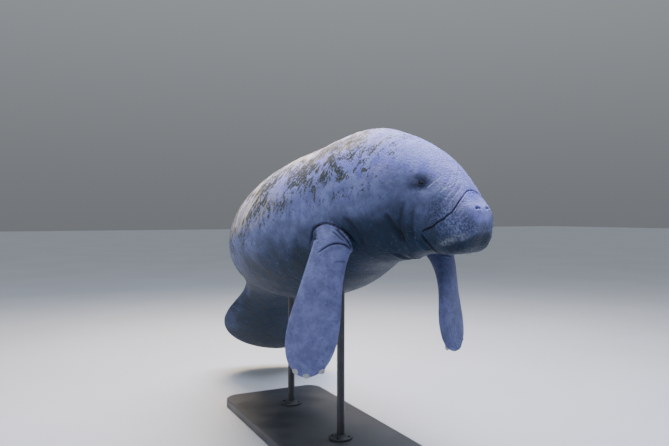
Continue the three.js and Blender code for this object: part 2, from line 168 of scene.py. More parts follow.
def new_mesh(name: str, points: np.ndarray, faces: list, shade: bool = True) -> bpy.types.Object:
    """Makes a mesh object with its place in its mesh.

    Args:
        name: The piece's name.
        points: Corners in metres.
        faces: Lists of corner numbers.
        shade: Whether faces are shaded smooth.

    Returns:
        The new object.
    """
    mesh = bpy.data.meshes.new(name)
    mesh.from_pydata([tuple(p) for p in points], [], faces)
    mesh.update()
    if shade:
        mesh.shade_smooth()
    piece = bpy.data.objects.new(name, mesh)
    bpy.context.scene.collection.objects.link(piece)
    return piece


def coordinates(mesh: bpy.types.Mesh) -> np.ndarray:
    """The corners of a mesh as an array."""
    flat = np.empty(len(mesh.vertices) * 3)
    mesh.vertices.foreach_get("co", flat)
    return flat.reshape(-1, 3)


def set_coordinates(mesh: bpy.types.Mesh, points: np.ndarray) -> None:
    """Moves the corners of a mesh."""
    mesh.vertices.foreach_set("co", np.ascontiguousarray(points, float).ravel())
    mesh.update()


def normals_of(mesh: bpy.types.Mesh) -> np.ndarray:
    """The corner normals of a mesh as an array."""
    flat = np.empty(len(mesh.vertices) * 3)
    mesh.vertices.foreach_get("normal", flat)
    return flat.reshape(-1, 3)


def relaxed(points: np.ndarray, edges: np.ndarray, weight: np.ndarray, rounds: int) -> np.ndarray:
    """Points drawn towards their neighbours, as a hand smooths clay.

    Args:
        points: Points to smooth.
        edges: Pairs of neighbours.
        weight: How far each point may move, from 0 to 1.
        rounds: How often to repeat.

    Returns:
        The smoothed points.
    """
    count = len(points)
    a, b = edges[:, 0], edges[:, 1]
    degree = np.bincount(a, minlength=count) + np.bincount(b, minlength=count)
    degree = np.maximum(degree, 1)[:, None]
    p = points.copy()
    for _ in range(rounds):
        total = np.stack([np.bincount(a, p[b, k], count) + np.bincount(b, p[a, k], count)
                          for k in range(3)], axis=1)
        p = p + 0.6 * weight[:, None] * (total / degree - p)
    return p


def edges_of(mesh: bpy.types.Mesh) -> np.ndarray:
    """The edges of a mesh as pairs of corner numbers."""
    flat = np.empty(len(mesh.edges) * 2, int)
    mesh.edges.foreach_get("vertices", flat)
    return flat.reshape(-1, 2)


def ring_faces(rings: int, sides: int, close_first: bool, close_last: bool) -> list:
    """Faces over rings of points, ring after ring, with an optional face at each end.

    Args:
        rings: How many rings.
        sides: How many points each ring has.
        close_first: Whether the first ring gets a face.
        close_last: Whether the last ring gets a face.

    Returns:
        Lists of corner numbers.
    """
    faces = []
    for i in range(rings - 1):
        for j in range(sides):
            a = i * sides + j
            b = i * sides + (j + 1) % sides
            faces.append([a, b, b + sides, a + sides])
    if close_first:
        faces.append(list(range(sides))[::-1])
    if close_last:
        faces.append([(rings - 1) * sides + j for j in range(sides)])
    return faces


def outward(piece: bpy.types.Object) -> None:
    """Merges a mesh's doubles and turns its faces outwards."""
    shape = bmesh.new()
    shape.from_mesh(piece.data)
    bmesh.ops.remove_doubles(shape, verts=shape.verts, dist=1e-6)
    bmesh.ops.recalc_face_normals(shape, faces=shape.faces)
    shape.to_mesh(piece.data)
    shape.free()
    piece.data.update()


def baked(piece: bpy.types.Object) -> None:
    """Turns a piece and its modifiers into a plain mesh."""
    graph = bpy.context.evaluated_depsgraph_get()
    mesh = bpy.data.meshes.new_from_object(piece.evaluated_get(graph), depsgraph=graph)
    piece.modifiers.clear()
    old = piece.data
    piece.data = mesh
    mesh.name = piece.name
    if old.users == 0:
        bpy.data.meshes.remove(old)


# Node trees


def linear(code: str) -> tuple:
    """An sRGB hex colour as linear red, green, blue and alpha."""
    parts = [int(code[k:k + 2], 16) / 255 for k in (1, 3, 5)]
    return tuple(c / 12.92 if c <= 0.04045 else ((c + 0.055) / 1.055) ** 2.4 for c in parts) + (1.0,)


class Net:
    """A node tree being built, with short ways to add the nodes that repeat."""

    def __init__(self, tree: bpy.types.NodeTree) -> None:
        """Takes the tree to add to."""
        self.tree = tree
        self.object_place = None

    def feed(self, made: bpy.types.Node, inputs: dict) -> None:
        """Sets or links a node's inputs.

        Args:
            made: The node.
            inputs: Values or output sockets, by the input's name or number.
        """
        for key, value in inputs.items():
            if isinstance(value, bpy.types.NodeSocket):
                self.tree.links.new(value, made.inputs[key])
            else:
                made.inputs[key].default_value = value

    def node(self, kind: str, settings: dict | None = None, inputs: dict | None = None) -> bpy.types.Node:
        """Adds one node.

        Args:
            kind: The node's type name.
            settings: Properties of the node.
            inputs: Values or output sockets for its inputs, by name or number.

        Returns:
            The new node.
        """
        made = self.tree.nodes.new(kind)
        for key, value in (settings or {}).items():
            setattr(made, key, value)
        self.feed(made, inputs or {})
        return made

    def place(self) -> bpy.types.NodeSocket:
        """Object coordinates."""
        if self.object_place is None:
            self.object_place = self.node("ShaderNodeTexCoord").outputs["Object"]
        return self.object_place

    def stretched(self, scale: tuple, turn: float = 0.0) -> bpy.types.NodeSocket:
        """Object coordinates, turned about Y by degrees and then stretched."""
        turned = self.node("ShaderNodeMapping", {"vector_type": "POINT"}, {
            "Vector": self.place(), "Rotation": (0, math.radians(turn), 0)}).outputs[0]
        return self.node("ShaderNodeMapping", {"vector_type": "POINT"},
                         {"Vector": turned, "Scale": scale}).outputs[0]

    def pattern(self, size: float, detail: float = 3.0, rough: float = 0.55,
                where: bpy.types.NodeSocket | None = None) -> bpy.types.NodeSocket:
        """A grey noise.

        Args:
            size: Grain size in mm.
            detail: How many finer layers it has.
            rough: How strong the finer layers are.
            where: The coordinates to read, or None for the object's.

        Returns:
            The pattern's value.
        """
        return self.node("ShaderNodeTexNoise", {"noise_dimensions": "3D"}, {
            "Vector": self.place() if where is None else where, "Scale": 1 / (size * MM),
            "Detail": detail, "Roughness": rough}).outputs[0]

    def cracks(self, size: float, where: bpy.types.NodeSocket) -> bpy.types.NodeSocket:
        """The distance to the edges of cells whose size is in mm."""
        return self.node("ShaderNodeTexVoronoi", {"feature": "DISTANCE_TO_EDGE"}, {
            "Vector": where, "Scale": 1 / (size * MM)}).outputs["Distance"]

    def ramp(self, value: bpy.types.NodeSocket, low: float, high: float, start: float = 0.0,
             end: float = 1.0) -> bpy.types.NodeSocket:
        """A smooth ramp of a value from start at low to end at high."""
        return self.node("ShaderNodeMapRange", {"interpolation_type": "SMOOTHSTEP"}, {
            "Value": value, "From Min": low, "From Max": high, "To Min": start,
            "To Max": end}).outputs["Result"]

    def times(self, a: bpy.types.NodeSocket, b: bpy.types.NodeSocket | float) -> bpy.types.NodeSocket:
        """The product of two values."""
        return self.node("ShaderNodeMath", {"operation": "MULTIPLY"}, {0: a, 1: b}).outputs[0]

    def plus(self, a: bpy.types.NodeSocket, b: bpy.types.NodeSocket | float) -> bpy.types.NodeSocket:
        """The sum of two values."""
        return self.node("ShaderNodeMath", {"operation": "ADD"}, {0: a, 1: b}).outputs[0]

    def mix(self, amount: bpy.types.NodeSocket | float, a: bpy.types.NodeSocket | str | tuple,
            b: bpy.types.NodeSocket | str | tuple, blend: str = "MIX") -> bpy.types.NodeSocket:
        """Two colours, each a socket, a hex code or a linear colour, mixed by an amount."""
        a, b = (linear(c) if isinstance(c, str) else c for c in (a, b))
        return self.node("ShaderNodeMix", {"data_type": "RGBA", "blend_type": blend},
                         {0: amount, 6: a, 7: b}).outputs[2]

    def relief(self, height: bpy.types.NodeSocket, strength: float, distance: float) -> bpy.types.NodeSocket:
        """Normals bent by a height pattern, whose full height is distance metres."""
        return self.node("ShaderNodeBump", inputs={
            "Strength": strength, "Distance": distance, "Height": height}).outputs[0]

    def stored(self, shape: bpy.types.NodeSocket, name: str, value: bpy.types.NodeSocket,
               kind: str = "FLOAT_VECTOR", domain: str = "POINT") -> bpy.types.NodeSocket:
        """A geometry with a value kept on it under a name."""
        return self.node("GeometryNodeStoreNamedAttribute", {"data_type": kind, "domain": domain}, {
            "Geometry": shape, "Name": name, "Value": value}).outputs[0]

    def named(self, name: str, kind: str = "FLOAT_VECTOR") -> bpy.types.NodeSocket:
        """A value kept on the geometry under a name."""
        return self.node("GeometryNodeInputNamedAttribute", {"data_type": kind}, {"Name": name}).outputs[0]


def new_material(name: str) -> tuple:
    """Makes an empty node material.

    Args:
        name: The material's name.

    Returns:
        The material, its net and its Principled node.
    """
    material = bpy.data.materials.new(name)
    material.use_nodes = True
    net = Net(material.node_tree)
    net.tree.nodes.clear()
    shader = net.node("ShaderNodeBsdfPrincipled")
    net.node("ShaderNodeOutputMaterial", inputs={"Surface": shader.outputs["BSDF"]})
    return material, net, shader


def new_group(name: str, inputs: dict) -> tuple:
    """Makes an empty Geometry Nodes group.

    Args:
        name: The group's name.
        inputs: Each input's name and kind of socket, without the words NodeSocket.

    Returns:
        Its net and its inputs' output sockets by name.
    """
    net = Net(bpy.data.node_groups.new(name, "GeometryNodeTree"))
    for key, kind in inputs.items():
        net.tree.interface.new_socket(key, in_out="INPUT", socket_type="NodeSocket" + kind)
    net.tree.interface.new_socket("Geometry", in_out="OUTPUT", socket_type="NodeSocketGeometry")
    return net, net.node("NodeGroupInput").outputs


def finish_group(net: Net, shape: bpy.types.NodeSocket, material: bpy.types.Material,
                 smooth_faces: bool) -> bpy.types.NodeTree:
    """Ends a group: realized geometry, shaded if asked, gets its material and goes out."""
    if smooth_faces:
        shape = net.node("GeometryNodeSetShadeSmooth", inputs={"Geometry": shape}).outputs[0]
    dressed = net.node("GeometryNodeSetMaterial", inputs={"Geometry": shape, "Material": material})
    net.node("NodeGroupOutput", inputs={"Geometry": dressed.outputs[0]})
    return net.tree


def run_group(piece: bpy.types.Object, group: bpy.types.NodeTree, values: dict) -> None:
    """Runs a Geometry Nodes group on a piece, with inputs by name, and keeps the plain mesh."""
    modifier = piece.modifiers.new("nodes", "NODES")
    modifier.node_group = group
    for item in group.interface.items_tree:
        if item.item_type == "SOCKET" and item.in_out == "INPUT" and item.name in values:
            modifier[item.identifier] = values[item.name]
    baked(piece)


# Finishes


@dataclass(frozen=True)
class SkinFinish:
    """Thick living hide: lavender grey, wrinkled and matt, with algae on the back, a top lightened by painted
    light, pale painted sunlight on the back, and a belly and tail darkened by painted shade.
    """

    flank: str = "#8490c8"
    # Painted light: the top of the body lighter than the flanks.
    back: str = "#a9b0ee"
    # Painted shade: the belly and the tail darker.
    belly: str = "#0c2a44"
    muzzle: str = "#5b69a2"
    # Painted shade: the eye hollows, the chin under the lip, the cheeks, the throat and the left flipper's
    # root.
    shade: str = "#28355a"
    limb: str = "#7e87be"
    algae: str = "#20251f"
    algae_pale: str = "#51574a"
    violet: str = "#a29cd2"
    # Painted sunlight: a pale sheen and streaks on the top of the back.
    cream: str = "#f6e8c8"
    lip: str = "#848b9c"
    # Painted shade in the furrows, creases and nostrils.
    furrow: str = "#14171f"
    scratch: str = "#b6c2f0"
    speck: str = "#9ca5d0"
    pore: str = "#333d63"
    mottle_dark: str = "#6c6c6c"
    mottle_light: str = "#acacac"
    roughness: float = 0.58
    ior: float = 1.42
    # Sizes of the patterns in mm.
    patch: float = 160
    colony: float = 85
    cloud: float = 75
    streak: float = 60
    mottle: float = 45
    wrinkle: float = 18
    dash: float = 11.5
    worn_speck: float = 11
    cobble: float = 7.5
    fleck: float = 6.5
    grit: float = 6
    grain: float = 3.5
    # Degrees about Y by which the algae and the streaks, then the wrinkles, lean along the body.
    lean: float = -18
    wrinkle_lean: float = 12

    def material(self) -> bpy.types.Material:
        """Builds the skin's material, layer over layer, from the measures kept on the skin."""
        material, net, shader = new_material("manatee_hide")
        mask = {which: net.node("ShaderNodeAttribute", {"attribute_name": which.value}).outputs["Fac"]
                for which in Mask}
        # Broad colours, blurred at their edges by a soft pattern of palm-sized patches; the lighter top of the
        # body is painted light.
        soft = net.ramp(net.pattern(self.patch, 4, 0.6), 0.35, 0.65, -0.12, 0.12)
        back = net.plus(mask[Mask.BACK], soft)
        belly = net.plus(mask[Mask.BELLY_AND_TAIL_SHADE], soft)
        colour = net.mix(net.ramp(back, 0.1, 0.95), self.flank, self.back)
        colour = net.mix(mask[Mask.LIMB], colour, self.limb)
        colour = net.mix(mask[Mask.MUZZLE], colour, self.muzzle)
        # Coarse grain round the bristles of the muzzle.
        grit = net.mix(net.ramp(net.pattern(self.grit, 2, 0.7), 0.42, 0.58), self.pore, self.speck)
        colour = net.mix(net.times(mask[Mask.MUZZLE], 0.48), colour, grit)
        # Painted shade: the eye hollows, the chin under the lip, the cheeks, the throat and the left flipper's
        # root.
        colour = net.mix(mask[Mask.SHADE], colour, self.shade)
        # Painted shade: the belly and the tail darkened.
        colour = net.mix(net.ramp(belly, 0.05, 1.0), colour, self.belly)
        # Cloudy mottling of 20 to 60 mm, darker and lighter.
        mottle = net.pattern(self.mottle, 5, 0.65)
        greys = net.mix(net.ramp(mottle, 0.38, 0.64), self.mottle_dark, self.mottle_light)
        colour = net.mix(0.60, colour, greys, "OVERLAY")
        # Violet clouds as wide as a hand.
        tint = net.ramp(net.pattern(self.cloud, 4, 0.6), 0.46, 0.60)
        tint = net.times(net.times(tint, 0.30), net.ramp(back, 0.1, 0.6))
        colour = net.mix(tint, colour, self.violet)
        # Pale worn specks about 8 mm across, drawn coarser than life so that they show.
        specks = net.pattern(self.worn_speck, 2, 0.6)
        worn = net.ramp(net.pattern(90), 0.42, 0.62)
        speck = net.times(net.ramp(specks, 0.60, 0.74), worn)
        colour = net.mix(net.times(speck, 0.20), colour, self.speck)
        colour = net.mix(net.times(net.ramp(specks, 0.42, 0.30), 0.30), colour, self.belly)
        # Algae: dashes 8 to 25 mm long that follow the wrinkles round the body.
        dashes = net.pattern(self.dash, 3, 0.6, net.stretched((1.0, 0.42, 0.42), self.lean))
        density = net.times(mask[Mask.ALGAE], net.ramp(net.pattern(self.colony, 4, 0.62), 0.36, 0.58))
        fleck = net.pattern(self.fleck, 2, 0.6)
        level = net.plus(net.plus(dashes, net.times(fleck, 0.8)), net.times(density, 0.27))
        algae = net.times(net.ramp(level, 1.04, 1.09), net.ramp(density, 0.02, 0.15))
        growth = net.mix(net.ramp(fleck, 0.40, 0.60), self.algae, self.algae_pale)
        # Painted sunlight: a pale sheen and a net of bright streaks along the top of the back.
        cells = net.cracks(self.streak, net.stretched((1.0, 0.32, 0.32), self.lean))
        streaks = net.times(net.ramp(net.pattern(100), 0.42, 0.54), net.ramp(cells, 0.15, 0.04))
        colour = net.mix(net.times(mask[Mask.PAINTED_SUNLIGHT], 0.42), colour, self.cream)
        colour = net.mix(net.times(algae, 0.96), colour, growth)
        colour = net.mix(net.times(net.times(mask[Mask.PAINTED_SUNLIGHT], streaks), 0.95), colour, self.cream)
        # Lines: grainy pale lips, painted shade in the furrows and pale old scratches.
        grains = net.ramp(net.pattern(self.grit, 3, 0.7), 0.40, 0.58, 0.15, 1.0)
        colour = net.mix(net.times(mask[Mask.LIP], grains), colour, self.lip)
        colour = net.mix(mask[Mask.FURROW_SHADE], colour, self.furrow)
        colour = net.mix(mask[Mask.SCRATCH], colour, self.scratch)
        # Relief: cobbled wrinkles, folds round the body, a fine grain and the thickness of the algae.
        cobbles = net.ramp(net.cracks(self.cobble, net.stretched((1.0, 0.7, 0.6))), 0.0, 0.30)
        rings = net.pattern(self.wrinkle, 4, 0.6, net.stretched((1.0, 0.30, 0.35), self.wrinkle_lean))
        height = net.plus(net.times(cobbles, 0.35), net.times(rings, 1.1))
        height = net.plus(height, net.times(net.pattern(self.grain, 3, 0.7), 0.35))
        height = net.plus(height, net.times(algae, 0.25))
        net.feed(shader, {
            "Base Color": colour, "Normal": net.relief(height, 0.85, 0.0028),
            "Roughness": net.ramp(mottle, 0.3, 0.7, self.roughness - 0.06, self.roughness + 0.12),
            "IOR": self.ior, "Specular IOR Level": 0.25, "Sheen Weight": 0.05, "Sheen Roughness": 0.6})
        return material


@dataclass(frozen=True)
class HornFinish:
    """Horn of the nails: pale grey, with growth lines 0.8 mm apart."""

    light: str = "#c6c9c6"
    dark: str = "#8b909a"
    roughness: float = 0.42

    def material(self) -> bpy.types.Material:
        """Builds the horn's material."""
        material, net, shader = new_material("nail_horn")
        cloud = net.pattern(4, 4, 0.6, net.stretched((1.0, 1.0, 3.0)))
        lines = net.pattern(1.6, 2, 0.5, net.stretched((0.2, 0.2, 1.0)))
        net.feed(shader, {
            "Base Color": net.mix(net.ramp(cloud, 0.35, 0.7), self.dark, self.light),
            "Normal": net.relief(lines, 0.5, 0.0004), "Roughness": self.roughness, "IOR": 1.54})
        return material


@dataclass(frozen=True)
class EyeFinish:
    """A wet eye: a black pupil in a dark brown iris, under a clear gloss that gives it a spark."""

    white: str = "#141312"
    iris: str = "#0e0c0a"
    rim: str = "#120c09"
    pupil: str = "#020202"

    def material(self) -> bpy.types.Material:
        """Builds the eye's material from the distance to its axis, kept in an attribute."""
        material, net, shader = new_material("wet_eye")
        reach = net.node("ShaderNodeAttribute", {"attribute_name": "eye_reach"}).outputs["Fac"]
        colour = net.mix(net.ramp(net.pattern(1.2), 0.3, 0.7), self.iris, self.rim)
        colour = net.mix(net.ramp(reach, 0.30, 0.36), self.pupil, colour)
        colour = net.mix(net.ramp(reach, 0.55, 0.66), colour, self.rim)
        colour = net.mix(net.ramp(reach, 0.70, 0.85), colour, self.white)
        net.feed(shader, {"Base Color": colour, "Roughness": 0.25, "IOR": 1.38, "Coat Weight": 0.3,
                          "Coat Roughness": 0.03})
        return material


@dataclass(frozen=True)
class HairFinish:
    """Hair and bristle: pale, stiff keratin with a soft gloss."""

    name: str
    root: str
    tip: str

    def material(self) -> bpy.types.Material:
        """Builds the hair's material."""
        material, net, shader = new_material(self.name)
        colour = net.mix(net.ramp(net.pattern(30, 2, 0.5), 0.35, 0.65), self.root, self.tip)
        net.feed(shader, {"Base Color": colour, "Roughness": 0.45, "IOR": 1.55})
        return material


@dataclass(frozen=True)
class PaintedWoodFinish:
    """Board painted satin charcoal: a soft sheen, a faint grain and rubbed edges."""

    paint: str = "#3a3d42"
    worn: str = "#565a60"
    roughness: float = 0.42

    def material(self) -> bpy.types.Material:
        """Builds the painted board's material."""
        material, net, shader = new_material("satin_painted_board")
        grain = net.pattern(4, 5, 0.6, net.stretched((0.08, 1.0, 1.0)))
        cloud = net.pattern(120, 4, 0.6)
        colour = net.mix(net.ramp(cloud, 0.3, 0.75, 0.0, 0.4), self.paint, self.worn)
        edges = net.node("ShaderNodeNewGeometry").outputs["Pointiness"]
        net.feed(shader, {
            "Base Color": net.mix(net.ramp(edges, 0.53, 0.60, 0.0, 0.6), colour, self.worn),
            "Roughness": net.ramp(cloud, 0.3, 0.7, self.roughness - 0.06, self.roughness + 0.08),
            "Normal": net.relief(grain, 0.25, 0.0004), "IOR": 1.5})
        return material


@dataclass(frozen=True)
class CoatedSteelFinish:
    """Steel with dark powder coat: an even low gloss with a fine pebbled skin of 1 mm."""

    name: str
    coat: str
    roughness: float
    metallic: float = 0.0

    def material(self) -> bpy.types.Material:
        """Builds the coated steel's material."""
        material, net, shader = new_material(self.name)
        base = linear(self.coat)
        lighter = tuple(min(1.0, 1.35 * c + 0.004) for c in base[:3]) + (1.0,)
        net.feed(shader, {
            "Base Color": net.mix(net.ramp(net.pattern(50, 4, 0.6), 0.35, 0.7), base, lighter),
            "Normal": net.relief(net.pattern(1.2, 2, 0.5), 0.3, 0.0003),
            "Roughness": self.roughness, "Metallic": self.metallic})
        return material


@dataclass(frozen=True)
class FloorFinish:
    """A matt pale studio floor."""

    shade: str = "#c9ced4"

    def material(self) -> bpy.types.Material:
        """Builds the floor's material."""
        material, net, shader = new_material("studio_floor")
        darker = tuple(0.94 * c for c in linear(self.shade)[:3]) + (1.0,)
        cloud = net.ramp(net.pattern(1100, 3, 0.5), 0.3, 0.7)
        net.feed(shader, {"Base Color": net.mix(cloud, darker, self.shade), "Roughness": 0.8})
        return material


# The body's plain form


@dataclass
class BodyForm:
    """The body's form, lofted along a curve from the snout to the tail edge.

    Each station has its share of the length, half width, rise above the curve, drop below it (shares
    of the length) and the squareness of its section. Angle 0 is the animal's right, 90 its back.
    """

    length: float = LENGTH
    shoulder_share: float = 0.233
    shoulder: tuple = SHOULDER
    steps: int = 1000
    stations: tuple = (
        (0.011, 0.0000, 0.0000, 0.0000, 2.0), (0.011, 0.0270, 0.0180, 0.0170, 2.2),
        (0.015, 0.0395, 0.0250, 0.0245, 2.6), (0.027, 0.0425, 0.0270, 0.0330, 2.8),
        (0.049, 0.0437, 0.0325, 0.0570, 2.5), (0.073, 0.0446, 0.0440, 0.0862, 2.3),
        (0.102, 0.0499, 0.0630, 0.0805, 2.1), (0.141, 0.0603, 0.0850, 0.0865, 2.0),
        (0.185, 0.0750, 0.0990, 0.0925, 2.0), (0.238, 0.0916, 0.1004, 0.0959, 2.0),
        (0.301, 0.1117, 0.1105, 0.1077, 2.0), (0.383, 0.1302, 0.1190, 0.1118, 2.0),
        (0.464, 0.1312, 0.1145, 0.1090, 2.0), (0.544, 0.1151, 0.0970, 0.0967, 2.0),
        (0.625, 0.0891, 0.0724, 0.0746, 2.0), (0.696, 0.0639, 0.0493, 0.0527, 2.0),
        (0.747, 0.0525, 0.0350, 0.0369, 2.0), (0.787, 0.0646, 0.0253, 0.0272, 1.9),
        (0.828, 0.0928, 0.0194, 0.0204, 1.7), (0.878, 0.1172, 0.0146, 0.0155, 1.6),
        (0.929, 0.1136, 0.0107, 0.0107, 1.6), (0.970, 0.0866, 0.0078, 0.0078, 1.6),
        (0.995, 0.0451, 0.0049, 0.0049, 1.7), (1.000, 0.0040, 0.0019, 0.0019, 2.0),
    )
    turn_left: tuple = ((0.049, 26), (0.235, 0), (0.486, 0), (0.826, -23))
    pitch_up: tuple = ((0.039, -38), (0.146, 3.2), (0.272, 15.4), (0.486, 10.2), (0.826, 44.9))
    lean_forward: tuple = ((0.011, -0.46), (0.070, 0))
    # Share, angle, radius and height in mm: lip pad, nostril pad, cheek, eye hollow and brow.
    swellings: tuple = (
        (0.030, -38, 62, 10), (0.0142, 74, 20, 5), (0.062, 2, 60, 5), (EYE_SHARE, EYE_ANGLE, 30, -6),
        (0.086, 48, 40, 4),
    )

    def __post_init__(self) -> None:
        """Adds up the body curve and places the swellings."""
        self.rows = np.array(self.stations)
        shares = (np.arange(self.steps) + 0.5) / self.steps
        forward = self.heading(shares)[0]
        curve = np.vstack([np.zeros(3), -np.cumsum(forward, axis=0) * self.length / self.steps])
        self.curve = curve
        at = self.centre(np.array([self.shoulder_share]))[0]
        self.curve = curve + np.array(self.shoulder) - at
        self.row_table = np.linspace(0, len(self.rows) - 1, 4001)
        self.share_table = spline_rows(self.rows, self.row_table)[:, 0]
        self.bumps = []
        for share, angle, radius, height in self.swellings:
            for side in (angle, 180 - angle):
                u = self.row_of(np.array([share]))
                place = self.plain(u, np.radians([side]))[0]
                self.bumps.append((place, radius * MM, height * MM))

    def heading(self, share: np.ndarray) -> tuple:
        """The body curve's direction and its turn to the left at each share."""
        yaw = np.radians(smooth_steps(list(self.turn_left), share))
        pitch = np.radians(smooth_steps(list(self.pitch_up), share))
        level = np.cos(pitch)
        return np.stack([level * np.cos(yaw), level * np.sin(yaw), np.sin(pitch)], axis=-1), yaw

    def centre(self, share: np.ndarray) -> np.ndarray:
        """Points of the body curve."""
        x = np.clip(share, 0, 1) * self.steps
        grid = np.arange(self.steps + 1)
        return np.stack([np.interp(x, grid, self.curve[:, k]) for k in range(3)], axis=-1)

    def row_of(self, share: np.ndarray) -> np.ndarray:
        """Row positions at shares of the length."""
        return np.interp(share, self.share_table, self.row_table)

    def plain(self, u: np.ndarray, angle: np.ndarray) -> np.ndarray:
        """Points of the form before its swellings.

        Args:
            u: Row positions.
            angle: Angles round the body in radians.

        Returns:
            The points.
        """
        share, wide, rise, drop, square = np.moveaxis(spline_rows(self.rows, u), -1, 0)
        forward, yaw = self.heading(share)
        right = np.stack([np.sin(yaw), -np.cos(yaw), np.zeros_like(yaw)], axis=-1)
        up = np.cross(right, forward)
        c, s = np.cos(angle), np.sin(angle)
        side = np.sign(c) * np.abs(c) ** (2 / square) * wide * self.length
        high = np.sign(s) * np.abs(s) ** (2 / square) * np.where(s > 0, rise, drop) * self.length
        lean = smooth_steps(list(self.lean_forward), share)
        return (self.centre(share) + right * side[..., None] + up * high[..., None]
                + forward * (high * lean)[..., None])

    def normal(self, u: np.ndarray, angle: np.ndarray) -> np.ndarray:
        """Outward directions of the form."""
        step = 0.01
        along = self.plain(u + step, angle) - self.plain(u - step, angle)
        around = self.plain(u, angle + step) - self.plain(u, angle - step)
        return unit(np.cross(around, along))

    def point(self, u: np.ndarray, angle: np.ndarray) -> np.ndarray:
        """Points of the form with its swellings."""
        place = self.plain(u, angle)
        rise = np.zeros(place.shape[:-1])
        for middle, radius, height in self.bumps:
            away = np.linalg.norm(place - middle, axis=-1)
            rise += np.where(away < 3 * radius, height * np.exp(-((away / radius) ** 2)), 0)
        return place + self.normal(u, angle) * rise[..., None]

    def on(self, share: float, angle: float) -> tuple:
        """A point on the form and its outward direction, for an angle in degrees."""
        u, a = self.row_of(np.array([share])), np.radians([angle])
        return self.point(u, a)[0], self.normal(u, a)[0]

    def path(self, places: tuple, mirrored: bool = False, steps: int = 8) -> tuple:
        """A smooth line on the form.

        Args:
            places: Pairs of share and angle in degrees.
            mirrored: Whether it lies on the animal's left.
            steps: Points between two places.

        Returns:
            The line's points and their outward directions.
        """
        flat = catmull([(s * 1000, 180 - a if mirrored else a) for s, a in places], steps)
        u, a = self.row_of(flat[:, 0] / 1000), np.radians(flat[:, 1])
        return self.point(u, a), self.normal(u, a)


@dataclass
class FlipperForm:
    """One flipper: a path from inside the shoulder to the tip, and its broad direction."""

    side: Side
    path: tuple
    broad_root: tuple
    broad_tip: tuple
    origin: tuple = SHOULDER
    length: float = LENGTH
    # Share along the flipper, half breadth and half thickness as shares of the body length.
    rows: tuple = (
        (0.00, 0.0260, 0.0240), (0.10, 0.0260, 0.0220), (0.22, 0.0260, 0.0190), (0.36, 0.0265, 0.0150),
        (0.50, 0.0290, 0.0115), (0.64, 0.0335, 0.0090), (0.78, 0.0355, 0.0075), (0.90, 0.0290, 0.0060),
        (0.97, 0.0180, 0.0045), (1.00, 0.0040, 0.0030),
    )

    def frame(self, t: np.ndarray) -> tuple:
        """The path's points and axes: centre, along, broad and thick."""
        p = np.array(self.path) * MM + np.array(self.origin)
        t = np.asarray(t, float)[..., None]
        centre = ((1 - t) ** 3 * p[0] + 3 * (1 - t) ** 2 * t * p[1] + 3 * (1 - t) * t ** 2 * p[2]
                  + t ** 3 * p[3])
        along = unit(3 * (1 - t) ** 2 * (p[1] - p[0]) + 6 * (1 - t) * t * (p[2] - p[1])
                     + 3 * t ** 2 * (p[3] - p[2]))
        broad = np.array(self.broad_root) * (1 - t) + np.array(self.broad_tip) * t
        broad = unit(broad - along * np.sum(broad * along, axis=-1, keepdims=True))
        return centre, along, broad, np.cross(along, broad)

    def point(self, u: np.ndarray, angle: np.ndarray) -> np.ndarray:
        """Points of the flipper's skin at row positions and angles in radians."""
        t, broad_half, thick_half = np.moveaxis(spline_rows(np.array(self.rows), u), -1, 0)
        centre, _, broad, thick = self.frame(t)
        across = broad_half * self.length * np.cos(angle)
        out = thick_half * self.length * np.sin(angle)
        return centre + broad * across[..., None] + thick * out[..., None]

    def row_of(self, share: float) -> np.ndarray:
        """The row position for a share of the flipper's length."""
        table = np.linspace(0, len(self.rows) - 1, 2001)
        return np.array([np.interp(share, spline_rows(np.array(self.rows), table)[:, 0], table)])

    def spot(self, share: float, angle: float) -> np.ndarray:
        """A point of the flipper's skin for a share of its length and an angle in degrees."""
        return self.point(self.row_of(share), np.radians([angle]))[0]

    def on(self, share: float, across: float) -> tuple:
        """A place on the flipper's outer face.

        Args:
            share: Share of the flipper's length.
            across: Place across its breadth, from -1 to 1.

        Returns:
            The point and the axes there: along, broad and outward.
        """
        t, broad_half, thick_half = spline_rows(np.array(self.rows), self.row_of(share))[0]
        centre, along, broad, thick = (v[0] for v in self.frame(np.array([t])))
        place = (centre + broad * across * broad_half * self.length
                 + thick * thick_half * self.length * math.sqrt(1 - across ** 2))
        return place, along, broad, thick


FLIPPERS = (
    FlipperForm(Side.RIGHT, ((60, -120, -70), (130, -235, -160), (125, -245, -400), (100, -290, -565)),
                (0.8, 0.6, 0), (0.47, 0.88, 0)),
    FlipperForm(Side.LEFT, ((125, 120, -80), (247, 248, -170), (219, 166, -360), (236, 235, -501)),
                (0.84, -0.54, 0), (0.36, -0.93, 0)),
)


# Relief of the skin


@dataclass(frozen=True)
class Fold:
    """A furrow or roll of the skin along a line of places.

    A place is a share of the body and an angle, or, marked LIMB, a share of the flipper and an angle.
    Depth, half width and lift of the raised side are in mm; a negative depth makes a roll.
    """

    name: str
    places: tuple
    depth: float
    half_width: float
    lift: float = 0.0
    # How strongly the fold's mark is painted: shade in a furrow, a pale line for a scratch or the lip.
    dark: float = 0.8
    mask: Mask = Mask.FURROW_SHADE
    paired: bool = True


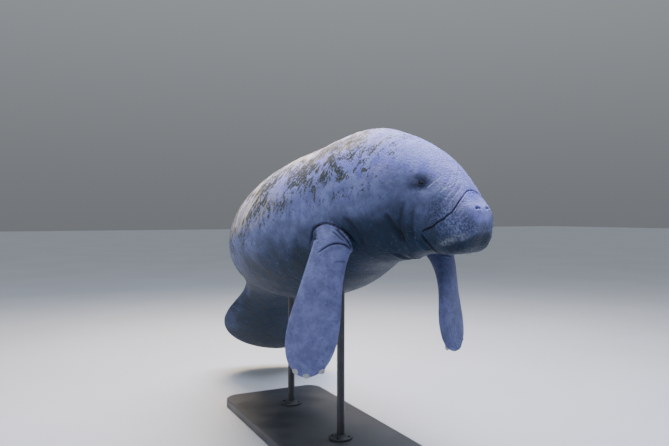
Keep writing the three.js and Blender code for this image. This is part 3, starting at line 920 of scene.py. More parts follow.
LIMB = "limb"
CREASE = ((0.0625, -25.5), (0.0585, -21.5), (0.0526, -15.5), (0.0475, -6.5), (0.0411, 1.5),
          (0.0365, 16.5), (0.0366, 38), (0.0397, 57), (0.0448, 74), (0.0472, 90))
NOSTRIL = ((0.0166, 66), (0.0175, 72), (0.0173, 79), (0.0156, 83))
LIP_EDGE = ((0.0477, -43), (0.0390, -36.5), (0.0285, -26.5), (0.0183, -14), (0.0124, -9), (0.0110, 6.5))
LIP_RIM = ((0.0455, -56), (0.0359, -57), (0.0254, -51.5), (0.0156, -45), (0.0113, -72))
FOLDS = (
    Fold("muzzle crease", CREASE, 6, 2.2, 1.4, 0.95),
    Fold("mouth line", ((0.0625, -26.5), (0.0575, -32), (0.0519, -39), (0.0477, -46.5), (0.0449, -54),
                        (0.0428, -64), (0.0405, -77), (0.0395, -90)), 10, 2.8, 1.0, 0.95),
    Fold("nostril slit", NOSTRIL, 14, 3.8, 1.6, 1.0),
    Fold("crease shadow", CREASE[:5], 1.5, 2.6, 0, 0.95),
    Fold("lip edge", LIP_EDGE, -1.6, 12, 0, 0),
    Fold("lip rim", LIP_RIM, -1.2, 12, 0, 0),
    Fold("pale lip", ((0.0410, -38), (0.0330, -29), (0.0285, -23), (0.0220, -15), (0.0160, -9),
                      (0.0120, -4)),
         0.5, 9, 0, 0.75, Mask.LIP),
    Fold("jaw roll", ((0.0629, -37), (0.0565, -49), (0.0500, -63.5)), -5, 12, 0, 0),
    Fold("neck fold 1", ((0.1254, -16), (0.1166, -24), (0.1048, -34), (0.0900, -45)), 7, 8.5, 2.0, 0.7),
    Fold("neck fold 2", ((0.0978, -2), (0.1009, -16), (0.1020, -29), (0.0985, -42)), 4, 7, 2.0, 0.45),
    Fold("neck fold 3", ((0.0856, -5), (0.0837, -15), (0.0787, -25.5), (0.0695, -33.5)), 4, 6, 2.0, 0.40),
    Fold("shoulder fold", ((0.1813, -16), (0.1713, -24), (0.1668, -34), (0.1676, -50)), 6, 8, 3.0, 0.55),
    Fold("arm arc", ((0.2607, -33), (0.2487, -28), (0.2344, -21), (0.106, 118, LIMB), (0.118, 84, LIMB),
                     (0.1930, -25), (0.1851, -29), (0.1790, -37), (0.1734, -50)), 9, 4.5, 4.0, 0.95),
    Fold("sleeve roll 1", ((0.135, 78, LIMB), (0.160, 52, LIMB), (0.180, 22, LIMB), (0.205, -12, LIMB)),
         6, 4, 4.0, 0.85),
    Fold("sleeve roll 2", ((0.160, 84, LIMB), (0.178, 60, LIMB), (0.196, 36, LIMB)), 4, 3, 2.4, 0.6),
    Fold("elbow fold", ((0.305, 114, LIMB), (0.263, 92, LIMB), (0.229, 66, LIMB), (0.213, 36, LIMB),
                        (0.219, 8, LIMB), (0.235, -10, LIMB)), 6, 3.8, 4.2, 0.85),
    Fold("elbow crease", ((0.338, 60, LIMB), (0.318, 36, LIMB), (0.305, 10, LIMB)), 3, 3, 2.0, 0.4),
    Fold("arm notch", ((0.2487, -32), (0.200, 150, LIMB), (0.213, 122, LIMB)), 4, 3.5, 2.0, 0.6),
    Fold("upper lip line", ((0.0206, 0), (0.0147, 2), (0.0115, 18.5)), 1.5, 2.4, 0, 0.3),
    Fold("throat fold", ((0.130, -62), (0.127, -76), (0.126, -90)), 6, 6, 2.5, 0.6),
    Fold("chin fold", ((0.080, -60), (0.078, -74), (0.077, -90)), 5, 6, 2.5, 0.5),
    Fold("nose dent", ((0.0716, 67.5), (0.0686, 74), (0.0695, 83)), 1.6, 1.8, 0, 0.6, Mask.FURROW_SHADE, False),
    Fold("scratch 1", ((0.0791, 15), (0.0755, 31), (0.0738, 51.5)), 0.8, 1.7, 0, 0.9, Mask.SCRATCH, False),
    Fold("scratch 2", ((0.0633, 28.5), (0.0617, 45.5), (0.0625, 67)), 0.7, 1.6, 0, 0.8, Mask.SCRATCH, False),
) + tuple(
    Fold(f"cheek line {k}", tuple((share + 0.0048 * k + 0.0006 * k * k, angle) for share, angle in CREASE[k:9]),
         1.8, 2.6, 0.8, 0.55 - 0.10 * k) for k in (2, 3, 4)
)
# Bulges of a flipper's arm: share, angle, radius and height in mm.
ARM_BULGES = ((0.245, 14, 24, 7), (0.17, 70, 30, 4), (0.30, 60, 40, 2.5))
# Soft swelling under each nostril: share, angle, radius and height in mm.
NOSTRIL_BULB = (0.0135, 82, 9, 4.0)


def along_line(points: np.ndarray, line: np.ndarray, normals: np.ndarray, reach: float) -> tuple:
    """Where points lie beside a line.

    Args:
        points: Points to measure.
        line: Points of the line.
        normals: Outward directions along it.
        reach: Farthest distance that matters.

    Returns:
        The numbers of the points in reach, their distance, their share of the line and their side.
    """
    low, high = line.min(axis=0) - reach, line.max(axis=0) + reach
    near = np.nonzero(np.all((points > low) & (points < high), axis=1))[0]
    p = points[near]
    best = np.full(len(near), 1e9)
    share = np.zeros(len(near))
    side = np.zeros(len(near))
    count = len(line) - 1
    for k in range(count):
        a, b = line[k], line[k + 1]
        ab = b - a
        t = np.clip(((p - a) @ ab) / (ab @ ab), 0, 1)
        away = p - (a + t[:, None] * ab)
        distance = np.linalg.norm(away, axis=1)
        closer = distance < best
        best = np.where(closer, distance, best)
        share = np.where(closer, (k + t) / count, share)
        across = np.cross(ab, normals[k])
        side = np.where(closer, np.sign(away @ across), side)
    keep = best < reach
    return near[keep], best[keep], share[keep], side[keep]


@dataclass
class Skin:
    """The animal's skin from snout to tail, with both flippers, as one closed surface."""

    form: BodyForm
    flippers: tuple
    finish: SkinFinish
    sides: int = 208
    flipper_sides: int = 60
    flipper_rings: int = 74
    # Shares of the length where the ring spacing changes, and the spacing there in mm.
    spacing: tuple = ((0.011, 3.0), (0.10, 3.6), (0.14, 5.0), (0.30, 11.0), (0.60, 12.5), (0.80, 11.0),
                      (0.96, 8.0), (1.0, 4.0))
    seed: float = 3.7
    eye_share: float = EYE_SHARE
    eye_angle: float = EYE_ANGLE
    eye_opening: tuple = (7.4, 4.2)
    nose_dome: float = 4.5
    nose_reach: float = 0.050

    def rings(self) -> np.ndarray:
        """Row positions of the body's rings."""
        shares = [self.form.share_table[0]]
        places, gaps = zip(*self.spacing)
        while shares[-1] < self.form.share_table[-1]:
            shares.append(shares[-1] + np.interp(shares[-1], places, gaps) * MM / self.form.length)
        front = np.linspace(0, 1.6, 9)[:-1]
        rest = self.form.row_of(np.array(shares))
        rest = rest[(rest > 1.6) & (rest < len(self.form.rows) - 1.5)]
        tail = np.linspace(rest[-1], len(self.form.rows) - 1, 8)[1:]
        return np.concatenate([front, rest, tail])

    def body_mesh(self) -> bpy.types.Object:
        """Lofts the body without its flippers."""
        u = self.rings()
        angle = np.arange(self.sides) / self.sides * 2 * np.pi
        uu, aa = np.meshgrid(u, angle, indexing="ij")
        points = self.form.point(uu, aa)
        self.body_points = points.reshape(-1, 3)
        self.body_shares = spline_rows(self.form.rows, uu)[..., 0].ravel()
        self.body_angles = aa.ravel()
        self.nose_centre = points[0].mean(axis=0)
        nose = self.nose_centre + 0.002 * self.form.heading(np.array([0.0]))[0][0]
        faces = ring_faces(len(u), self.sides, False, True)
        tip = len(self.body_points)
        faces += [[tip, (j + 1) % self.sides, j] for j in range(self.sides)]
        piece = new_mesh("skin", np.vstack([self.body_points, nose]), faces)
        outward(piece)
        return piece

    def flipper_mesh(self, flipper: FlipperForm) -> tuple:
        """Lofts one flipper.

        Args:
            flipper: The flipper's form.

        Returns:
            The object, its points, their shares of the flipper and their angles.
        """
        last = len(flipper.rows) - 1
        u = np.concatenate([np.linspace(0, last - 1.2, self.flipper_rings - 12)[:-1],
                            np.linspace(last - 1.2, last, 13)])
        angle = np.arange(self.flipper_sides) / self.flipper_sides * 2 * np.pi
        uu, aa = np.meshgrid(u, angle, indexing="ij")
        points = flipper.point(uu, aa).reshape(-1, 3)
        share = spline_rows(np.array(flipper.rows), uu)[..., 0].ravel()
        piece = new_mesh("flipper_" + flipper.side.value, points,
                         ring_faces(len(u), self.flipper_sides, True, True))
        outward(piece)
        return piece, points, share, aa.ravel()

    def joined(self) -> bpy.types.Object:
        """Joins body and flippers into one surface and softens the joint."""
        body = self.body_mesh()
        self.limbs = []
        for flipper in self.flippers:
            limb, points, share, angle = self.flipper_mesh(flipper)
            self.limbs.append((points, share, angle))
            join = body.modifiers.new("join", "BOOLEAN")
            join.operation = "UNION"
            join.solver = "EXACT"
            join.object = limb
            baked(body)
            bpy.data.objects.remove(limb)
        shape = bmesh.new()
        shape.from_mesh(body.data)
        self.thin_tip(shape)
        shape.to_mesh(body.data)
        shape.free()
        mesh = body.data
        points = coordinates(mesh)
        found, inside = self.nearest(points)
        front = (inside == 0) & (found < len(self.body_shares))
        share = self.body_shares[np.where(front, found, 0)]
        weight = np.where(front, 0.6 * (1 - smooth(share, 0.0125, 0.0180)), 0.0)
        for k in range(len(self.limbs)):
            joint = self.joint_line(inside, k, edges_of(mesh))
            if len(joint):
                away = distance_to(points, points[joint])
                weight = np.maximum(weight, 1 - smooth(away, 0.012, 0.045))
        set_coordinates(mesh, relaxed(points, edges_of(mesh), weight, 40))
        return body

    def thin_tip(self, shape: bmesh.types.BMesh) -> None:
        """Merges crowded points at the two poles and slivers along the flippers' joints."""
        front = self.body_points[:self.sides].mean(axis=0)
        back = self.body_points[-self.sides:].mean(axis=0)
        crowd = [v for v in shape.verts if min(np.linalg.norm(np.array(v.co) - front),
                                               np.linalg.norm(np.array(v.co) - back)) < 0.030]
        bmesh.ops.remove_doubles(shape, verts=crowd, dist=0.0018)
        bmesh.ops.remove_doubles(shape, verts=shape.verts, dist=0.0006)

    def nearest(self, points: np.ndarray) -> tuple:
        """For each point, the nearest loft point and its part: 0 is the body, 1 and 2 are flippers."""
        parts = [self.body_points] + [limb[0] for limb in self.limbs]
        everything = np.vstack(parts)
        owner = np.concatenate([np.full(len(p), k) for k, p in enumerate(parts)])
        tree = kdtree.KDTree(len(everything))
        for k, p in enumerate(everything):
            tree.insert(p, k)
        tree.balance()
        found = np.array([tree.find(p)[1] for p in points])
        return found, owner[found]

    def joint_line(self, part: np.ndarray, limb: int, edges: np.ndarray) -> np.ndarray:
        """Numbers of the points on the joint between the body and one flipper."""
        a, b = part[edges[:, 0]], part[edges[:, 1]]
        cross = ((a == 0) & (b == limb + 1)) | ((b == 0) & (a == limb + 1))
        return np.unique(edges[cross].ravel())

    def trace(self, fold: Fold, mirrored: bool) -> tuple:
        """Lays a fold's line on the skin.

        Args:
            fold: The fold.
            mirrored: Whether it lies on the animal's left.

        Returns:
            The line's points and their outward directions.
        """
        if any(len(place) == 3 for place in fold.places):
            limb = self.flippers[1 if mirrored else 0]
            spots = [limb.spot(place[0], -place[1] if mirrored else place[1]) if len(place) == 3
                     else self.form.on(place[0], 180 - place[1] if mirrored else place[1])[0]
                     for place in fold.places]
            line = catmull(spots, 8)
        else:
            line = self.form.path(fold.places, mirrored)[0]
        found = [self.surface.find_nearest(Vector(p)) for p in line]
        return np.array([f[0] for f in found]), np.array([f[1] for f in found])

    def refine(self, piece: bpy.types.Object, line: np.ndarray, reach: float, cuts: int) -> None:
        """Makes the mesh finer within reach of a line."""
        shape = bmesh.new()
        shape.from_mesh(piece.data)
        shape.verts.ensure_lookup_table()
        points = np.array([v.co for v in shape.verts])
        near = distance_to(points, line) < reach
        edges = [e for e in shape.edges if near[e.verts[0].index] and near[e.verts[1].index]]
        bmesh.ops.subdivide_edges(shape, edges=edges, cuts=cuts, use_grid_fill=True)
        shape.to_mesh(piece.data)
        shape.free()

    def build(self) -> bpy.types.Object:
        """Builds the skin, carves its relief and dresses it."""
        piece = self.joined()
        log.info("skin joined: %d faces", len(piece.data.polygons))
        self.surface = BVHTree.FromPolygons([v.co for v in piece.data.vertices],
                                            [p.vertices for p in piece.data.polygons])
        eyes = [self.form.on(self.eye_share, a) for a in (self.eye_angle, 180 - self.eye_angle)]
        fine = [self.trace(fold, m)[0] for fold in FOLDS[:2] for m in (False, True)]
        nostrils = [self.form.path(NOSTRIL, m)[0] for m in (False, True)]
        self.refine(piece, np.vstack(fine), 0.013, 1)
        self.refine(piece, np.vstack(nostrils), 0.015, 1)
        scars = np.vstack([self.trace(fold, False)[0] for fold in FOLDS if fold.mask is Mask.SCRATCH])
        arm_folds = [fold for fold in FOLDS if any(len(place) == 3 for place in fold.places)]
        arms = np.vstack([self.trace(fold, m)[0] for fold in arm_folds for m in (False, True)])
        self.refine(piece, arms, 0.016, 1)
        self.refine(piece, arms, 0.010, 1)
        self.refine(piece, scars, 0.009, 1)
        self.refine(piece, scars, 0.006, 1)
        self.refine(piece, np.array([eye[0] for eye in eyes]), 0.034, 1)
        self.refine(piece, np.vstack(nostrils), 0.011, 1)
        self.refine(piece, np.array([eye[0] for eye in eyes]), 0.026, 1)
        self.carve(piece, eyes)
        piece.data.materials.clear()
        piece.data.materials.append(self.finish.material())
        piece.data.shade_smooth()
        log.info("skin carved: %d faces", len(piece.data.polygons))
        return piece

    def carve(self, piece: bpy.types.Object, eyes: list) -> None:
        """Presses folds, lids and unevenness into the skin and keeps its measures.

        Args:
            piece: The skin.
            eyes: Each eye's place and outward direction.
        """
        mesh = piece.data
        mesh.update()
        points = coordinates(mesh)
        normals = normals_of(mesh)
        found, part = self.nearest(points)
        parts = [np.stack([self.body_shares, self.body_angles], 1)]
        parts += [np.stack([limb[1], limb[2]], 1) for limb in self.limbs]
        share, angle = np.vstack(parts)[found].T
        masks = {which: np.zeros(len(points)) for which in Mask}
        push = np.zeros(len(points))
        for fold in FOLDS:
            for mirrored in ((False, True) if fold.paired else (False,)):
                self.press(fold, mirrored, points, part, push, masks)
        self.sink_eyes(eyes, points, push, masks)
        for limb, sign in ((self.flippers[0], 1), (self.flippers[1], -1)):
            for at, turn, radius, height in ARM_BULGES:
                away = np.linalg.norm(points - limb.spot(at, sign * turn), axis=1)
                push += height * MM * np.exp(-((away / (radius * MM)) ** 2))
        share_at, turn, radius, height = NOSTRIL_BULB
        for side in (turn, 180 - turn):
            away = np.linalg.norm(points - self.form.on(share_at, side)[0], axis=1)
            push += height * MM * np.exp(-((away / (radius * MM)) ** 2))
        nose = self.form.on(0.0112, 0.0)[0]
        push += self.nose_dome * MM * np.exp(-((np.linalg.norm(points - nose, axis=1) / 0.060) ** 2))
        push += self.cuticles(points)
        push += self.unevenness(points, normals, share, part)
        self.measure(points, share, angle, part, masks)
        set_coordinates(mesh, points + normals * push[:, None])
        for which, values in masks.items():
            layer = mesh.attributes.new(which.value, "FLOAT", "POINT")
            layer.data.foreach_set("value", np.clip(values, 0, 1).astype(np.float32))
        self.unwrap(mesh, share, angle, part)
        self.share, self.high = np.where(part == 0, share, 0.3), np.where(part == 0, np.sin(angle), 0.0)

    def press(self, fold: Fold, mirrored: bool, points: np.ndarray, part: np.ndarray,
              push: np.ndarray, masks: dict) -> None:
        """Presses one fold into the skin."""
        line, normals = self.trace(fold, mirrored)
        width = fold.half_width * MM
        near, away, share, side = along_line(points, line, normals, 5 * width)
        if mirrored:
            side = -side
        ends = np.minimum(smooth(share, -0.02, 0.16), 1 - smooth(share, 0.84, 1.02))
        flat = 1.0
        if fold.places[-1][1] in (90, -90):
            ends = smooth(share, -0.02, 0.16)
            flat = 1 - 0.65 * smooth(share, 0.50, 0.90)
        trough = np.exp(-((away / width) ** 2))
        raised = np.exp(-(((away - 2.2 * width) / (1.5 * width)) ** 2)) * (side > 0)
        push[near] += MM * ends * flat * (fold.lift * raised - fold.depth * trough)
        # The fold's mark along its trough: painted shade in a furrow, a pale line for a scratch or the lip.
        if fold.dark:
            shade = fold.dark * ends * trough
            masks[fold.mask][near] = np.maximum(masks[fold.mask][near], shade)

    def sink_eyes(self, eyes: list, points: np.ndarray, push: np.ndarray, masks: dict) -> None:
        """Opens the skin over each eye and lays rings of wrinkled lids around it."""
        wide, high = (x * MM for x in self.eye_opening)
        for (place, normal) in eyes:
            ahead = self.form.heading(np.array([self.eye_share]))[0][0]
            along = unit(ahead - normal * (ahead @ normal))
            up = np.cross(normal, along)
            offset = points - place
            near = np.nonzero(np.linalg.norm(offset, axis=1) < 0.09)[0]
            x, y = offset[near] @ along, offset[near] @ up
            level = np.hypot(x / wide, y / high)
            spread = np.hypot(x, y * wide / high * 0.9) - wide
            turn = np.arctan2(y, x)
            pocket = -15 * MM * (1 - smooth(level, 0.74, 1.02))
            rim = 2.6 * MM * bump(spread, 1.8 * MM, 2.2 * MM) * smooth(level, 0.9, 1.05)
            waves = 1.3 * MM * np.cos(spread / (4.6 * MM) * 2 * np.pi + 0.5 * np.sin(3 * turn))
            waves *= np.exp(-spread / (10 * MM)) * smooth(spread, 2.5 * MM, 5 * MM)
            spokes = 0.5 * MM * np.sin(17 * turn + 2 * np.sin(5 * turn)) * bump(spread, 7 * MM, 6 * MM)
            corner = -1.6 * MM * bump(np.abs(x), wide + 3 * MM, 4 * MM) * bump(y, 0, 1.6 * MM)
            push[near] += pocket + rim + waves + spokes + corner
            # Painted shade: the eye's opening and a wide hollow round it darkened.
            dark = np.exp(-np.maximum(spread, 0) / (9 * MM))
            masks[Mask.SHADE][near] = np.maximum(masks[Mask.SHADE][near], 0.95 * dark)
            hollow = np.hypot((x + 3 * MM) / (58 * MM), (y - 0.25 * x) / (37 * MM))
            wide_dark = 0.95 * (1 - smooth(hollow, 0.18, 1.25))
            masks[Mask.SHADE][near] = np.maximum(masks[Mask.SHADE][near], wide_dark)

    def cuticles(self, points: np.ndarray) -> np.ndarray:
        """Raises a roll of skin round the root of each nail, in metres along the normals."""
        rise = np.zeros(len(points))
        for flipper in self.flippers:
            breadth, length, _ = (x * MM for x in Nails.size)
            for at in Nails.places:
                place, along, broad, _ = flipper.on(*at)
                offset = points - place
                x, y = offset @ broad / breadth, offset @ along / length
                near = np.linalg.norm(offset, axis=1) < 0.022
                roll = bump(np.hypot(x, y), 1.0, 0.28) * (1 - smooth(y, -0.35, 0.45))
                rise += 2.6 * MM * near * roll
        return rise

    def unevenness(self, points: np.ndarray, normals: np.ndarray, share: np.ndarray,
                   part: np.ndarray) -> np.ndarray:
        """Soft lumps and slack wrinkles of the skin, in metres along its normals."""
        rise = np.empty(len(points))
        lumps, slack = 1.6 * MM, 0.8 * MM
        shift = Vector((self.seed, self.seed, self.seed))
        for k, p in enumerate(points):
            v = Vector(p)
            soft = noise.noise(v * 11 + shift) * lumps
            folds = noise.noise(Vector((v.x * 62, v.y * 20, v.z * 22)) + shift) * slack
            fine = noise.noise(v * 105 + shift) * 0.28 * MM
            rise[k] = soft + folds + fine
        calm = np.where(part == 0, 1 - 0.7 * smooth(share, 0.80, 0.95), 0.6)
        return rise * calm

    def height_of(self, points: np.ndarray, angle: np.ndarray) -> np.ndarray:
        """How high points lie round the body, from -1 to 1, evened out over the flat of the nose."""
        away = np.linalg.norm(points - self.nose_centre, axis=1)
        return np.sin(angle) * np.clip(away / self.nose_reach, 0, 1)

    def measure(self, points: np.ndarray, share: np.ndarray, angle: np.ndarray, part: np.ndarray,
                masks: dict) -> None:
        """Works out the masks for the painted light of the back, the painted shade of the belly, tail and
        shaded places, the painted sunlight, the algae, the muzzle and the limbs.
        """
        body = (part == 0).astype(float)
        high = self.height_of(points, angle)
        # Painted light: the top of the body lighter, fading towards the tail.
        masks[Mask.BACK] = body * smooth(high, -0.15, 0.85) * (1 - 0.75 * smooth(share, 0.62, 0.85))
        # Painted shade: the underside darker, and most of the tail.
        low = 1 - smooth(high, -0.80, 0.22)
        masks[Mask.BELLY_AND_TAIL_SHADE] = body * np.maximum(low, 0.85 * smooth(share, 0.55, 0.80))
        masks[Mask.LIMB] = 1 - body
        masks[Mask.MUZZLE] = body * (1 - smooth(share, 0.045, 0.085)) * (1 - smooth(high, 0.3, 0.98))
        # Shaded: the left flipper's root, the chin under the lip's edge, the cheeks and the throat.
        limb = 0.85 * (part == 2) * (1 - 0.75 * smooth(share, 0.25, 0.70))
        edge_share, edge_angle = zip(*sorted(LIP_EDGE))
        under = np.sin(np.radians(np.interp(share, edge_share, edge_angle))) - high
        chin = 0.9 * (1 - smooth(share, 0.060, 0.072)) * smooth(under, 0.0, 0.20)
        cheek = 0.60 * bump(share, 0.100, 0.036) * bump(high, -0.30, 0.60)
        throat = smooth(share, 0.055, 0.075) * (1 - smooth(share, 0.15, 0.22))
        throat *= 0.85 * smooth(-high, 0.20, 0.62)
        for shaded in (limb, body * chin, body * cheek, body * throat):
            masks[Mask.SHADE] = np.maximum(masks[Mask.SHADE], shaded)
        before_tail = 1 - smooth(share, 0.64, 0.76)
        flank = smooth(high, -0.20, 0.36) * smooth(share, 0.11, 0.20) * before_tail
        rear = 0.9 * smooth(high, -0.55, 0.08) * smooth(share, 0.32, 0.44) * before_tail
        nape = 0.55 * smooth(high, 0.2, 0.7) * smooth(share, 0.10, 0.14)
        nape *= 1 - smooth(share, 0.30, 0.50)
        masks[Mask.ALGAE] = body * np.clip(np.maximum(np.maximum(flank, rear), nape), 0, 1)
        # Painted sunlight: a pale sheen and streaks on the crest and the saddle of the back.
        crest = smooth(high, 0.45, 0.85) * bump(share, 0.33, 0.12)
        saddle = smooth(high, -0.10, 0.35) * bump(share, 0.43, 0.10)
        masks[Mask.PAINTED_SUNLIGHT] = body * np.maximum(saddle, crest)

    def unwrap(self, mesh: bpy.types.Mesh, share: np.ndarray, angle: np.ndarray, part: np.ndarray) -> None:
        """Lays the skin flat: the body by length and angle, the flippers beside it."""
        flat = np.stack([0.02 + 0.70 * share, 0.02 + 0.96 * angle / (2 * np.pi)], 1)
        for k in (1, 2):
            chosen = part == k
            flat[chosen, 0] = 0.76 + 0.22 * share[chosen]
            flat[chosen, 1] = 0.02 + 0.48 * (k - 1) + 0.45 * angle[chosen] / (2 * np.pi)
        layer = mesh.attributes.new(MAP_LAYER, "FLOAT2", "POINT")
        layer.data.foreach_set("vector", flat.astype(np.float32).ravel())


def distance_to(points: np.ndarray, targets: np.ndarray) -> np.ndarray:
    """Distance from each point to the nearest target."""
    best = np.full(len(points), 1e9)
    for start in range(0, len(targets), 40):
        group = targets[start:start + 40]
        away = np.linalg.norm(points[:, None, :] - group[None], axis=2).min(axis=1)
        best = np.minimum(best, away)
    return best


@dataclass
class Eye:
    """An eyeball with a clear bulge over its iris."""

    side: Side
    form: BodyForm
    radius: float = 0.012
    sink: float = 0.009
    share: float = EYE_SHARE
    angle: float = EYE_ANGLE
    rings: int = 40
    sides: int = 48

    def build(self, material: bpy.types.Material) -> bpy.types.Object:
        """Builds the eyeball around the axis that looks out of the head."""
        angle = self.angle if self.side is Side.RIGHT else 180 - self.angle
        place, normal = self.form.on(self.share, angle)
        centre = place - normal * self.sink
        turn = Vector(normal).to_track_quat("Z", "Y").to_matrix()
        tilt = np.linspace(0.02, np.pi - 0.02, self.rings)
        around = np.arange(self.sides) / self.sides * 2 * np.pi
        tt, aa = np.meshgrid(tilt, around, indexing="ij")
        bulge = 1 + 0.045 * np.exp(-((tt / 0.42) ** 2))
        local = np.stack([np.sin(tt) * np.cos(aa), np.sin(tt) * np.sin(aa), np.cos(tt)], -1)
        local = local * (self.radius * bulge)[..., None]
        points = local.reshape(-1, 3) @ np.array(turn).T + centre
        faces = ring_faces(self.rings, self.sides, True, True)
        piece = new_mesh("eyeball_" + self.side.value, points, faces)
        reach = piece.data.attributes.new("eye_reach", "FLOAT", "POINT")
        reach.data.foreach_set("value", np.sin(tt).ravel().astype(np.float32))
        outward(piece)
        piece.data.materials.append(material)
        return piece


@dataclass
class Nails:
    """The three nails of a flipper, domed plates with faint ridges."""

    flipper: FlipperForm
    places: tuple = ((0.970, -0.60), (0.978, 0.36), (0.930, 0.93))
    size: tuple = (12.0, 11.0, 3.8)
    sink: float = 0.0012

    def build(self, number: int, material: bpy.types.Material) -> bpy.types.Object:
        """Builds one nail.

        Args:
            number: Which nail, from 1.
            material: Its finish.

        Returns:
            The nail.
        """
        place, along, broad, thick = self.flipper.on(*self.places[number - 1])
        place = place - thick * self.sink
        breadth, length, height = (x * MM for x in self.size)
        rings, sides = 20, 36
        tilt = np.linspace(0.03, np.pi - 0.03, rings)
        around = np.arange(sides) / sides * 2 * np.pi
        tt, aa = np.meshgrid(tilt, around, indexing="ij")
        x, y, z = np.sin(tt) * np.cos(aa), np.sin(tt) * np.sin(aa), np.cos(tt)
        ridges = 1 + 0.02 * np.sin(y * 22) + 0.015 * np.sin(x * 14)
        square = 1 - 0.06 * (y ** 2)
        up = np.cross(broad, along)
        local = (broad * (x * breadth * square)[..., None] + along * (y * length)[..., None]
                 + up * (z * height * ridges)[..., None])
        piece = new_mesh(f"nail_plate_{self.flipper.side.value}_{number}", local.reshape(-1, 3) + place,
                         ring_faces(rings, sides, True, True))
        outward(piece)
        piece.data.materials.append(material)
        return piece


# Hair by Geometry Nodes


@dataclass(frozen=True)
class Coat:
    """Hairs of one kind, sown on the skin by a Geometry Nodes tree."""

    name: str
    finish: HairFinish
    length: float
    thickness: float
    density: float
    share_low: float
    share_high: float
    seed: int
    lean: float = 0.5
    high_limit: float = 2.0

    def sow(self, mesh: bpy.types.Mesh, shares: np.ndarray, highs: np.ndarray) -> None:
        """Keeps where on the skin the hairs grow.

        Args:
            mesh: The skin's mesh.
            shares: Each point's share of the body.
            highs: How high each point lies round the body, from -1 to 1.
        """
        layer = mesh.attributes.new("sow_" + self.name, "FLOAT", "POINT")
        grow = smooth(shares, self.share_low - 0.004, self.share_low + 0.004)
        grow *= 1 - smooth(shares, self.share_high - 0.02, self.share_high)
        grow *= 1 - smooth(highs, self.high_limit - 0.2, self.high_limit)
        layer.data.foreach_set("value", grow.astype(np.float32))

    def group(self, material: bpy.types.Material) -> bpy.types.NodeTree:
        """Builds the group that sows, turns and sizes the hairs."""
        net, given = new_group(self.name + "_sowing", {
            "Geometry": "Geometry", "Hair Length": "Float", "Hair Thickness": "Float",
            "Density": "Float", "Seed": "Int"})
        points = net.node("GeometryNodeDistributePointsOnFaces", {"distribute_method": "RANDOM"}, {
            "Mesh": given["Geometry"], "Seed": given["Seed"],
            "Density": net.times(net.named("sow_" + self.name, "FLOAT"), given["Density"])}).outputs
        kept = net.stored(points["Points"], "root_place", net.named(MAP_LAYER))
        # One hair: a thin cone of five sides, bent a little by its rings.
        cone = net.node("GeometryNodeMeshCone", {"fill_type": "NONE"}, {
            "Vertices": 5, "Side Segments": 3, "Radius Top": 0.12, "Radius Bottom": 1.0, "Depth": 1.0})
        position = net.node("GeometryNodeInputPosition").outputs[0]
        x, y, z = net.node("ShaderNodeSeparateXYZ", inputs={0: position}).outputs
        length, thick = given["Hair Length"], given["Hair Thickness"]
        bend = net.times(net.times(net.times(z, z), length), 0.3)
        shaped = net.node("ShaderNodeCombineXYZ", inputs={
            0: net.plus(net.times(x, thick), bend), 1: net.times(y, thick), 2: net.times(z, length)})
        hair = net.node("GeometryNodeSetPosition", inputs={
            "Geometry": cone.outputs["Mesh"], "Position": shaped.outputs[0]})
        # Its place on the map: the root's, with a patch of its own as wide as HAIR_PATCH round it.
        local = net.node("ShaderNodeCombineXYZ", inputs={
            0: net.times(x, HAIR_PATCH), 1: net.times(z, HAIR_PATCH)})
        marked = net.stored(hair.outputs[0], "hair_place", local.outputs[0])
        lean = net.node("FunctionNodeRandomValue", {"data_type": "FLOAT_VECTOR"}, {
            0: (-self.lean, -self.lean, 0.0), 1: (self.lean, self.lean, 6.28), "Seed": 11})
        turned = net.node("FunctionNodeRotateEuler", {"rotation_type": "EULER", "space": "LOCAL"}, {
            "Rotation": points["Rotation"], "Rotate By": lean.outputs[0]})
        size = net.node("FunctionNodeRandomValue", {"data_type": "FLOAT"}, {2: 0.6, 3: 1.25, "Seed": 5})
        placed = net.node("GeometryNodeInstanceOnPoints", inputs={
            "Points": kept, "Instance": marked, "Rotation": turned.outputs[0], "Scale": size.outputs[1]})
        real = net.node("GeometryNodeRealizeInstances", inputs={"Geometry": placed.outputs[0]})
        total = net.node("ShaderNodeVectorMath", {"operation": "ADD"}, {
            0: net.named("root_place"), 1: net.named("hair_place")})
        mapped = net.stored(real.outputs[0], "OFBake", total.outputs[0], "FLOAT2", "CORNER")
        return finish_group(net, mapped, material, True)

    def build(self, skin: bpy.types.Object, shares: np.ndarray, highs: np.ndarray) -> bpy.types.Object:
        """Sows the hairs on the skin and makes them one plain mesh.

        Args:
            skin: The finished skin.
            shares: Each skin point's share of the body.
            highs: How high each point lies round the body, from -1 to 1.

        Returns:
            The hairs.
        """
        piece = bpy.data.objects.new(self.name, skin.data.copy())
        self.sow(piece.data, shares, highs)
        bpy.context.scene.collection.objects.link(piece)
        run_group(piece, self.group(self.finish.material()), {
            "Hair Length": self.length, "Hair Thickness": self.thickness, "Density": self.density,
            "Seed": self.seed})
        for name in ("root_place", "hair_place"):
            layer = piece.data.attributes.get(name)
            if layer is not None:
                piece.data.attributes.remove(layer)
        log.info("%s: %d faces", self.name, len(piece.data.polygons))
        return piece


# Half the width of one hair's patch of the map, as a share of the map.
HAIR_PATCH = 0.0012
COATS = (
    Coat("body_hair", HairFinish("fine_body_hair", "#4a5168", "#707792"), length=0.011,
         thickness=0.00013, density=380, share_low=0.07, share_high=0.97, seed=4),
    Coat("muzzle_bristles", HairFinish("stiff_bristle", "#5a6178", "#858ca6"), length=0.007,
         thickness=0.00032, density=3200, share_low=0.012, share_high=0.055, seed=9, lean=0.35,
         high_limit=0.55),
)


# Stand


